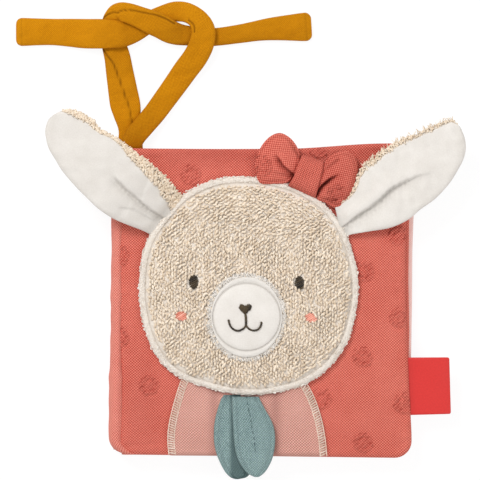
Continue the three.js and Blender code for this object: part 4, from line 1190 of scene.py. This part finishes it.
makeMuzzle()
for kind, facts, thread, slot in (("eye", eyes, brownYarn, "brown_thread"),
                                  ("cheek", cheeks, salmonYarn, "salmon_thread")):
    for number, side in enumerate(sides):
        outline = ellipse(facts["places"][number], facts["halves"][number])
        node = kind + "_" + side
        satin(camelName(node), outline, facts, thread, facts["seed"] + number, node)
satin("noseStitches", smoothLine(fromPhoto(nose["outline"]), 60), nose, brownYarn, 75, "nose")
makeMouth()
makeLoops()
faceNames = ("headTerry", "headBacking", "muzzleVelour", "muzzleFibres", "eyeLeft", "eyeRight",
             "cheekLeft", "cheekRight", "noseStitches", "mouthStitches", "headLoops", "headRimLoops")
facePieces = [bpy.data.objects[name] for name in faceNames]
settleHead = settle("head", facePieces[:2], voxel=2.4, pressure=0.4, cap=0.5)
for piece in facePieces[2:]:
    settleHead(piece)
print("head made")

# The chest panel, with a band of overlock stitches down each side
panel = {
    "left": [[186, 375], [181.6, 383], [176.2, 400], [171.6, 418], [169.4, 432], [169.2, 444],
             [170.4, 455.5]],
    "right": [[299, 376], [308, 388], [315, 403], [320.7, 422], [324, 440], [325.6, 456.5]],
    "low": 14.25, "thickness": 0.75, "band": 2.7, "pitch": 1,
}


def makePanel():
    left, right = (smoothLine(fromPhoto(panel[side]), 60) for side in sides)
    s, hs = roundedSteps(66, 1.2, 1.0)
    x, y = between(left, right, s)
    edge = hs[None] * np.ones((len(left), 1))
    r = np.hypot(x - head["centre"][0], y - head["centre"][1])
    z = panel["low"] + 0.05 + ripple(x, y, 18, 81) * 0.1
    z = z - 1.6 * smoothStep(-y, 64.6, 66.6)
    collarSide = np.minimum(np.abs(x + 20.2), np.abs(x - 6.3)) + 0 * y
    # painted shadow along the head's edge and beside the collar leaves' edges
    shade = 0.5 * bell(r - 47.4, 1.3) + 0.35 * bell(collarSide, 2.2)
    piece = flatSheet("chestPanel", x, y, z + panel["thickness"] * edge, z - 0.1, pinkJersey, shade)
    dress(piece, "front_cover", "chest_panel")
    rows = []
    for line, inward in ((left, 1), (right, -1)):
        places = smoothLine(line, round(lengthOf(line) / panel["pitch"]))
        step = unitRows(np.gradient(places, axis=0))
        square = np.stack([-step[:, 1], step[:, 0]], -1)
        square *= np.sign(square[:, :1]) * inward
        for place, forth, aside in zip(places, step, square):
            if np.hypot(*(place - head["centre"])) < head["radius"] - 0.5 or place[1] < -65.2:
                continue
            middle = place + aside * (panel["band"] / 2 - 0.5)
            rows.append(((*middle, panel["low"] + 1.0), (*(aside + forth * 0.28), 0),
                         (panel["band"] + 0.5, 0.6, 0.6)))
            for shift in (-0.55, panel["band"] - 0.45):
                rows.append(((*(place + aside * shift + forth * 0.3), panel["low"] + 0.85), (*forth, 0),
                             (panel["pitch"] * 1.4, 0.5, 0.5)))
    sewn = repeatOnCloth("panelOverlock", stitchUnit, paleYarn, rows, 82, 0.12, 0.08)
    dress(sewn, "front_cover", None)


makePanel()

# The collar: two teal leaves, cut double, sewn and turned
collar = {
    "top": -38.5, "thickness": 1.6, "hinge": -42.5,
    "left": {"rows": [[-39.7, -16.7, -8.5], [-42, -17.4, -8.2], [-46, -18.7, -7.8], [-51, -19.9, -7.4],
                      [-57, -20.3, -7], [-62, -19.9, -6.8], [-66.5, -18.6, -6.4], [-70.5, -16.8, -5.6],
                      [-73.4, -15, -4.9], [-75.2, -13, -6.4], [-75.9, -11.2, -9.6]],
             "low": 15.35, "body": "collar_left", "parent": "front_cover", "node": "collar_leaf_left"},
    "right": {"rows": [[-40.4, -12.7, -0.9], [-42, -12.6, -0.2], [-46, -12.4, 1.9], [-50.5, -12.2, 4.4],
                       [-54.8, -12, 5.8], [-60, -11.6, 6.1], [-64.4, -10.9, 5.5], [-68, -9.7, 4.5],
                       [-71.6, -7.5, 2.6], [-73.6, -5.4, 0.9], [-74.9, -2.9, -0.9]],
              "low": 17.35, "body": "collar_right", "parent": "collar_left", "node": "collar_leaf_right"},
    "stitches": [[246.2, 396], [248.4, 407], [250.2, 416], [252, 427], [254.2, 440], [255.6, 454]],
}


def runningStitch(table, s, x, top):
    # short stitches down the right leaf, each at the height of the cloth under it
    places = smoothLine(fromPhoto(collar["stitches"]), 41)
    rows = []
    for k in range(1, 40, 4):
        row = int(np.interp(places[k, 1], table[::-1, 0], np.arange(len(table))[::-1]))
        column = (places[k, 0] - x[row, 0]) / (x[row, -1] - x[row, 0])
        height = np.interp(column, s, top[row]) + 0.12
        rows.append(((*places[k], height), (*(places[k + 1] - places[k - 1]), 0), (1.5, 0.55, 0.5)))
    run = repeatOnCloth("collarRunningStitch", stitchUnit, tealYarn, rows, 84, 0.1, 0.1)
    return dress(run, None, None)


def makeLeaf(side, seed):
    facts = collar[side]
    table = smoothLine(facts["rows"], 70)
    s = sineSteps(33)
    width = table[:, 2:3] - table[:, 1:2]
    x = table[:, 1:2] + s[None] * width
    y = table[:, :1] + 0 * x
    inset = np.minimum(s, 1 - s)[None] * width
    edge = quarterRound(inset / 1.4)
    tip = quarterRound((y + 76.3) / 1.6)
    seam = bell(inset - 1.9, 0.4)
    rise = collar["thickness"] * (0.55 * edge * tip + 0.6 * edge * tip * np.sin(s * math.pi)[None] ** 0.7)
    fold = ripple(x, y, 13, seed) * 0.13 + ripple(x, y, 5, seed + 1) * 0.04
    tucked = 1 - smoothStep(-y, 39.7, 44.0)
    low = facts["low"] - 0.7 * smoothStep(-y, 60, 76) * (side == "left") - tucked * 0.6
    rise = rise * (1 - 0.5 * tucked)
    top = low + rise + fold * edge - 0.28 * seam * edge
    # painted shade in the groove of the edge seam and under the chin; on the left leaf the painted shadow of
    # the right leaf, and on the right leaf shade along its left edge
    shade = 0.28 * seam + 0.45 * bell(y - collar["top"] + 1.2, 1.8)
    shade = shade + (0.75 * smoothStep(x, -14.2, -12.2) if side == "left" else 0.3 * bell(s[None], 0.03))
    piece = flatSheet(camelName(facts["node"]), x, y, top, low, teal, shade)
    dress(piece, None, facts["node"])
    pieces = [piece] + ([runningStitch(table, s, x, top)] if side == "right" else [])
    for part in pieces:
        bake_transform(part)


makeLeaf("left", 85)
makeLeaf("right", 87)
print("panel and collar made")

# The bow: two stuffed loops gathered by a ribbed knot
bow = {
    "left": {
        "outline": [[300.7, 154.8], [295.4, 144.1], [288.2, 136.5], [279.3, 133], [269.5, 137],
                    [260.5, 147.7], [255.2, 162.9], [255.6, 173.6], [260.5, 183.4], [275.7, 184.3],
                    [288.2, 182.5], [294.5, 176], [299.5, 166]],
        "crease": [[276, 154.5], [279.5, 159.5], [283.3, 165.5], [287.8, 169.4], [294.6, 174.5]],
        "wide": 2.3, "deep": 2.3, "crest": 0.9, "fade": [-0.05, 0.3],
        "folds": [[[272, 172], [292, 177]], [[289, 142], [299, 157]]],
        "tuft": [[262, 166.5]], "low": 14.6, "high": 20.4, "seed": 91, "node": "bow_loop_left", "weave": 38,
    },
    "right": {
        "outline": [[321, 166], [325.3, 161.7], [330.7, 155.6], [340.6, 151.4], [349, 151.8], [355.2, 157.1],
                    [357.9, 167.8], [355.9, 180.1], [352.1, 192.3], [345.2, 202.3], [339.9, 207.6],
                    [333, 207.6], [325.3, 203], [315.5, 197.7], [316.5, 184]],
        "crease": [[313, 194.5], [316.1, 191.5], [321.5, 184.7], [329.2, 178.5], [336.8, 174.9],
                   [343, 174.9]],
        "wide": 2, "deep": 3.2, "crest": 0.5, "fade": [1.02, 0.45],
        "folds": [[[322, 172], [338, 160]], [[322, 199], [336, 200]]],
        "tuft": [[336.5, 194.5]], "low": 14.6, "high": 20.6, "seed": 93, "node": "bow_loop_right",
        "weave": -32,
    },
    "knot": {
        "left": [[302, 154.6], [297.8, 164.8], [293.2, 177], [287.4, 186.2]],
        "right": [[324, 160.9], [322.8, 172], [318.4, 187.5], [315.2, 198.8]],
        "low": 14.6, "high": 20.9, "ribs": 9,
    },
}


def turnWeave(piece, degrees):
    uvs = piece.data.uv_layers[uvName].data
    a = math.radians(degrees)
    turning = np.array([[math.cos(a), math.sin(a)], [-math.sin(a), math.cos(a)]], np.float32)
    uvs.foreach_set("uv", (readRows(uvs, "uv", 2) @ turning).reshape(-1))


def makeBowLoop(side):
    facts = bow[side]
    points = fromPhoto(facts["outline"])
    line = smoothLine(np.concatenate([points, points[:1]]), 241)[:-1]
    middle = line.mean(0)
    shares = np.sin(np.linspace(0, 1, 72) * math.pi / 2)
    flat = middle + (line - middle)[None] * shares[:, None, None]
    x, y = flat[..., 0], flat[..., 1]
    share = shares[:, None] + 0 * x
    body = np.sqrt(np.clip(1 - share**3.2, 0, 1))
    far, sideOf, along = toLine(x, y, fromPhoto(facts["crease"]))
    fade = smoothStep(along, *facts["fade"])
    below = smoothStep(far * sideOf, -0.35, 0.25)
    cut = below * bell(far, facts["wide"]) * fade
    lip = (1 - below) * bell(far - 1.3, 1.7) * fade
    relief, dent = tuftRelief(x, y, fromPhoto(facts["tuft"]), facts["seed"])
    folds = np.zeros_like(x)
    for fold in facts["folds"]:
        away, _, t = toLine(x, y, fromPhoto(fold))
        folds += 0.42 * bell(away, 0.75) * smoothStep(t, -0.4, 0.8)
    low, height = facts["low"], facts["high"] - facts["low"]
    z = low + height * (0.22 + 0.78 * body) - facts["deep"] * cut + facts["crest"] * lip
    z = z + 0.22 * bell(share - 0.93, 0.025) - 0.25 * bell(share - 0.87, 0.03)
    z = z + relief * 0.8 * body - folds + ripple(x, y, 8, facts["seed"]) * 0.16 * body
    z = np.where(share > 0.999, low + height * 0.18, z)
    rings = [np.stack([x, y, z], -1)]
    for part, up in ((0.985, 0.06), (0.7, 0.0), (0.0, 0.0)):
        ring = middle + (line - middle) * part
        rings.append(np.column_stack([ring, np.full(len(ring), low + height * up)])[None])
    # painted shade in the tufts, below the crease, in the folds and inside the edge seam, and a little over
    # the whole right loop
    paintedShades = dent * 0.8 + 0.34 * facts["deep"] * cut * bell(far, 1.5) + 0.4 * np.clip(folds / 0.42, 0, 1)
    paintedShades = paintedShades + 0.2 * bell(share - 0.88, 0.03) + 0.12 * (side == "right")
    paintedShades = np.concatenate([paintedShades, np.zeros((3, paintedShades.shape[1]))])
    piece = loftRings(camelName(facts["node"]), np.concatenate(rings), bowJersey, paintedShades, planar=True)
    settle(facts["node"], [piece], voxel=1.3, pressure=60.0, cap=0.5)
    turnWeave(piece, facts["weave"])
    dress(piece, "front_cover", facts["node"])


def makeBowKnot():
    facts = bow["knot"]
    left, right = (smoothLine(fromPhoto(facts[side]), 44) for side in sides)
    s, t = sineSteps(67), np.linspace(0, 1, 44)
    x, y = between(left, right, s)
    edge = quarterRound(np.minimum(s, 1 - s) * 8)[None]
    wrap = np.clip(1 - np.abs(2 * t - 1) ** 3.4, 0, 1)[:, None] ** 0.5
    low, height = facts["low"], facts["high"] - facts["low"]
    bend = s[None] + 0.03 * np.sin(t * 5)[:, None]
    ribs = np.abs(np.sin(bend * math.pi * facts["ribs"]))
    z = low + height * (0.12 + 0.88 * wrap) * (0.75 + 0.25 * edge) + 0.28 * ribs * edge
    z = z + ripple(x, y, 6, 95) * 0.12
    z = np.where(edge < 0.05, low + 0.5 * (z - low), z)
    # painted shade between the ribs, at the edges and towards both ends
    shade = 0.3 * (1 - ribs) ** 2 * edge + 0.22 * (1 - edge) + 0.16 * (1 - wrap)
    knot = flatSheet("bowKnot", x, y, z, low, bowJersey, shade)
    dress(knot, "front_cover", "bow_knot")


for side in sides:
    makeBowLoop(side)
makeBowKnot()
print("bow made")

# The ears: a velour front on a terry back whose loops show along the upper edge
ears = {
    "thickness": 3.6, "rootRadius": 48, "hingeHeight": 18.45, "rows": 150, "columns": 73, "underLoops": 2600,
    "left": {
        "upper": [[183.5, 201], [179, 196], [167, 180], [156, 170], [145, 160], [131, 150],
                  [118, 140], [99, 129], [93, 121], [80, 114], [70, 111], [61, 112],
                  [54, 115.5]],
        "lower": [[155, 236.5], [147.5, 233], [141, 230], [116, 220], [100, 210], [89, 200],
                  [79, 190], [70, 180], [62, 170], [56, 160], [50, 150], [47, 140],
                  [46, 130], [49, 120.5], [53.5, 116]],
        "folds": [{"line": [[112, 174], [123, 185.4], [138.2, 198.8], [150.7, 209.5], [164, 217.5]],
                   "depth": 1.6, "wide": 4.6, "crest": 0.7, "shade": 0.34},
                  {"line": [[117, 207], [134, 209], [148, 217]], "depth": 0.5, "wide": 2.4,
                   "crest": 0.15, "shade": 0.1}],
        "rise": 8.4, "angle": 142.6, "body": "ear_left", "seed": 101,
        "fringe": [[0, 6.2], [0.12, 5.6], [0.25, 4.8], [0.38, 3.4], [0.46, 2.2], [0.5, 1.1], [0.6, 0.8],
                   [0.68, 1.3], [0.8, 2.3], [0.9, 1.3], [0.94, 0], [1, 0]],
        "loopsPerMillimetre": 17, "threads": 0,
    },
    "right": {
        "upper": [[334, 204.5], [338, 200.5], [345, 196], [352.5, 188], [360, 170], [372, 160],
                  [385, 150], [403, 140], [427, 130], [443, 123], [452, 121], [459, 126]],
        "lower": [[342, 238], [350, 235], [370, 231.5], [390, 228], [408, 220], [420, 210],
                  [434, 200], [444, 190], [452, 180], [458, 170], [463, 160], [465.5, 150],
                  [465, 140], [461.5, 130], [459.5, 126.5]],
        "folds": [{"line": [[339, 230], [344.5, 225.2], [357.9, 214.5], [369.5, 207.3], [379.3, 199.3],
                            [390, 188.6], [402.5, 182.3], [416.8, 176], [430, 173], [440, 171]],
                   "depth": 1.9, "wide": 5.2, "crest": 0.75, "shade": 0.32}],
        "rise": 0.7, "angle": 34.4, "body": "ear_right", "seed": 105,
        "fringe": [[0, 1.7], [0.3, 1.9], [0.6, 1.5], [0.85, 1.2], [0.95, 0.7], [1, 0]],
        "loopsPerMillimetre": 5, "threads": 60,
    },
}


def earGrid(side):
    facts = ears[side]
    lower, upper = (smoothLine(fromPhoto(facts[edge]), ears["rows"]) for edge in ("lower", "upper"))
    s = sineSteps(ears["columns"])
    x, y = between(lower, upper, s)
    dx, dy = x - head["centre"][0], y - head["centre"][1]
    angle = math.radians(facts["angle"])
    v = np.clip((dx * math.cos(angle) + dy * math.sin(angle) - ears["rootRadius"]) / 64.5, 0, 1)
    start = smoothStep(np.array(0.0), -0.21, 0.42)
    lift = facts["rise"] / (1 - start) * (smoothStep(v, -0.21, 0.42) - start)
    pinched = 1 - smoothStep(headRadius(x, y), 46.2, 52.5)
    middle = 16.5 + lift + 0.5 * np.sin(v * 3.4) * (side == "right") - 1.2 * pinched
    wide = np.hypot(upper[:, 0] - lower[:, 0], upper[:, 1] - lower[:, 1])[:, None]
    edge = quarterRound(np.minimum(s, 1 - s)[None] * wide / 2.4) * (1 - 0.62 * pinched)
    return x, y, s[None] + 0 * x, middle, edge, wide, pinched


def earTop(side, x, y, s, middle, edge, pinched):
    # the velour's face: crowned, with a lip above each fold and a hollow below it that runs to the seam
    facts = ears[side]
    z = middle + ears["thickness"] / 2 * edge * (0.8 + 0.2 * np.sin(s * math.pi))
    # painted shade: where the ear is gathered at its root, a little over the whole ear, more on the left, and
    # in the hollow below each fold, with fine streaks
    shade = 0.3 * pinched**2 + (0.11 if side == "left" else 0.04)
    streaks = 1 + 0.35 * ripple(x, y, 1.6, facts["seed"] + 7)
    for fold in facts["folds"]:
        far, sideOf, along = toLine(x, y, fromPhoto(fold["line"]))
        fade = smoothStep(along, -0.02, 0.2) if side == "left" else smoothStep(along, 1.0, 0.55)
        below = smoothStep(far * sideOf, -0.25, 0.35)
        hollow = below * bell(far, fold["wide"]) * fade
        lip = (1 - below) * bell(far - 2.0, 2.4) * fade
        z = z + (fold["crest"] * lip - fold["depth"] * hollow) * edge
        shade = shade + fold["shade"] * below * bell(far, fold["wide"] * 0.55) * fade * streaks
    z = z + (ripple(x, y, 16, facts["seed"]) * 0.24 + ripple(x, y, 6, facts["seed"] + 1) * 0.09) * edge
    return np.maximum(z, middle + 0.12), np.clip(shade, 0, 0.6)


def earLoops(facts, x, y, s, middle, wide, top, under):
    random = np.random.default_rng(facts["seed"] + 2)
    rows, last = [], len(x)
    # loops on the underside
    for _ in range(ears["underLoops"]):
        i, k = random.integers(8, last - 14), random.integers(13, x.shape[1] - 4)
        if random.uniform() > wide[i, 0] / 34:
            continue
        a = random.uniform(0, 2 * math.pi)
        rows.append(((x[i, k] + random.normal(0, 0.25), y[i, k] + random.normal(0, 0.25), under[i, k] - 0.05),
                     (math.cos(a), math.sin(a), 0), (1.9, 0.9, 1.0), (0, 0, -1)))
    border = np.stack([x[:, -1], y[:, -1]], -1)
    inward = unitRows(np.stack([x[:, 0], y[:, 0]], -1) - border)
    forth = unitRows(np.gradient(border, axis=0))
    # loops that stand out along the upper edge
    for _ in range(int(lengthOf(border) * facts["loopsPerMillimetre"])):
        i = random.integers(4, last - 2)
        reach = np.interp(i / (last - 1), *zip(*facts["fringe"]))
        if random.uniform() > reach / 2.4:
            continue
        deep = random.uniform(-0.1, 1) * reach
        a = random.normal(0, 0.9)
        covered = np.interp(deep / max(wide[i, 0], 6), 1 - s[0][::-1], top[i, ::-1])
        place = (*(border[i] + inward[i] * deep), covered + random.uniform(-0.1, 0.45))
        aim = (*(forth[i] * math.sin(a) - inward[i] * math.cos(a)), random.uniform(-0.2, 0.5))
        rows.append((place, aim, (random.uniform(1.5, 2.5), 0.66, 1.1), (*(-0.5 * inward[i]), 1)))
    # longer threads drawn out near the tip
    for _ in range(facts["threads"]):
        i = random.integers(int(last * 0.3), last - 3)
        a = random.normal(0.6, 0.5)
        place = (*(border[i] - inward[i] * 0.7), middle[i, -1] + random.uniform(0, 0.6))
        aim = (*(forth[i] * math.sin(a) - inward[i] * math.cos(a)), random.uniform(0, 0.4))
        rows.append((place, aim, (random.uniform(2.2, 3.6), 0.34, 1.2)))
    return rows


def makeEar(side):
    facts = ears[side]
    title, node = "ear" + side.capitalize(), "ear_" + side
    x, y, s, middle, edge, wide, pinched = earGrid(side)
    z, shade = earTop(side, x, y, s, middle, edge, pinched)
    band = np.interp(np.linspace(0, 1, len(x)), *zip(*facts["fringe"]))[:, None] / np.maximum(wide, 8) + 0.004
    bare = smoothStep(s, 1 - band * 0.55, 1 - band * 1.15)
    top = np.where(bare < 1, middle + (z - middle) * (0.15 + 0.85 * bare), z)
    under = middle - ears["thickness"] / 2 * edge - 0.1
    front = flatSheet(title + "Velour", x, y, top, np.minimum(middle - 0.05, top - 0.02), velour, shade)
    back = flatSheet(title + "Terry", x, y, middle - 0.1, under, terryBase)
    dress(front, None, node + "_velour_front")
    dress(back, None, node + "_terry_back")
    rows = earLoops(facts, x, y, s, middle, wide, top, under)
    fringe = repeatOnCloth(title + "Loops", loopUnit, terryYarn, rows, facts["seed"] + 3, 0.35, 0.2)
    dress(fringe, None, None)
    settle(title, [front, back], voxel=1.6, pressure=4.0, cap=0.5)(fringe)
    for piece in (front, back, fringe):
        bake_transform(piece)


for side in sides:
    makeEar(side)
print("ears made")

# The label: a folded satin ribbon in the fore-edge seam, left bare
label = {
    "corners": [[404.5, 357.6], [449.6, 357.4], [451.2, 414.2], [404.5, 415.4]], "low": 10.6,
    "thickness": 0.9, "rounding": 0.9, "across": 24.5, "out": 20.5,
}


def makeLabel():
    topLeft, topRight, bottomRight, bottomLeft = fromPhoto(label["corners"])
    s, hs = roundedSteps(label["out"], 0.35, 0.7)
    t, ht = roundedSteps(label["across"], 1.0, 0.8)
    left = topLeft + (bottomLeft - topLeft) * t[:, None]
    right = topRight + (bottomRight - topRight) * t[:, None]
    right[:, 0] -= cornerCut(np.minimum(t, 1 - t) * label["across"], label["rounding"])
    x, y = between(left, right, s)
    curl = 0.35 * np.sin(s * 3.0)[None] + ripple(x, y, 14, 111) * 0.1
    z = label["low"] + curl + label["thickness"] / 2
    half = label["thickness"] / 2 * (hs[None] * ht[:, None])
    # painted shadow where the ribbon comes out from under the cover, and painted shade at its folded end
    shade = 0.8 * bell(s, 0.16)[None] * (0.5 + 0.5 * t[:, None]) + 0.2 * bell(s - 0.96, 0.02)[None]
    piece = flatSheet("labelRibbon", x, y, z + half, z - half, ribbonSatin, shade)
    dress(piece, "front_cover", "label_ribbon")


makeLabel()

# Floor, sky and lamps: pale floor that shows white, soft light from above left
studio = {"floor": 3000, "white": 1.05, "sky": 0.62, "shadow": 0.14,
          "lamps": [["keyLamp", (-0.55, 0.75, 1.1), 0.5, 11], ["fillLamp", (0.8, -0.4, 1.2), 0.9, 3.6]]}


def seenShare(tree):
    # 1 for what the camera sees, also in a gloss or through film, and 0 for light on its way
    rays = addNode(tree, "ShaderNodeLightPath").outputs
    share = rays["Is Camera Ray"]
    for kind in ("Is Glossy Ray", "Is Transmission Ray"):
        share = addNode(tree, "ShaderNodeMath", [share, rays[kind]], operation="ADD", use_clamp=True)
    return share


def makeStudio():
    mesh = bpy.data.meshes.new("studioFloor")
    half = studio["floor"] * mm
    corners = [(x * half, y * half, -0.0002) for x, y in ((-1, -1), (1, -1), (1, 1), (-1, 1))]
    mesh.from_pydata(corners, [], [(0, 1, 2, 3)])
    addObject("studioFloor", mesh)
    material, tree = newMaterial("pale paper floor")
    share = addNode(tree, "ShaderNodeMath", [seenShare(tree), 1 - studio["shadow"]], operation="MULTIPLY")
    diffuse = addNode(tree, "ShaderNodeBsdfDiffuse", {"Color": (0.9, 0.9, 0.9, 1)})
    glow = addNode(tree, "ShaderNodeEmission", {"Color": (1, 1, 1, 1), "Strength": studio["white"]})
    addNode(tree, "ShaderNodeOutputMaterial", [addNode(tree, "ShaderNodeMixShader", [share, diffuse, glow])])
    mesh.materials.append(material)
    world = bpy.data.worlds.new("studioSky")
    scene.world = world
    world.use_nodes = True
    sky = world.node_tree
    sky.nodes.clear()
    dim, full = (addNode(sky, "ShaderNodeBackground", {"Color": (1, 1, 1, 1), "Strength": studio[kind]})
                 for kind in ("sky", "white"))
    addNode(sky, "ShaderNodeOutputWorld", [addNode(sky, "ShaderNodeMixShader", [seenShare(sky), dim, full])])
    for name, place, size, power in studio["lamps"]:
        data = bpy.data.lights.new(name, "AREA")
        data.energy = power
        data.size = size
        lamp = addObject(name, data)
        lamp.location = place
        lamp.rotation_mode = "QUATERNION"
        lamp.rotation_quaternion = Vector(place).to_track_quat("Z", "Y")


makeStudio()
scene.view_settings.view_transform = "Standard"

for unit in (stitchUnit, loopUnit, threadUnit):
    bpy.data.objects.remove(unit)
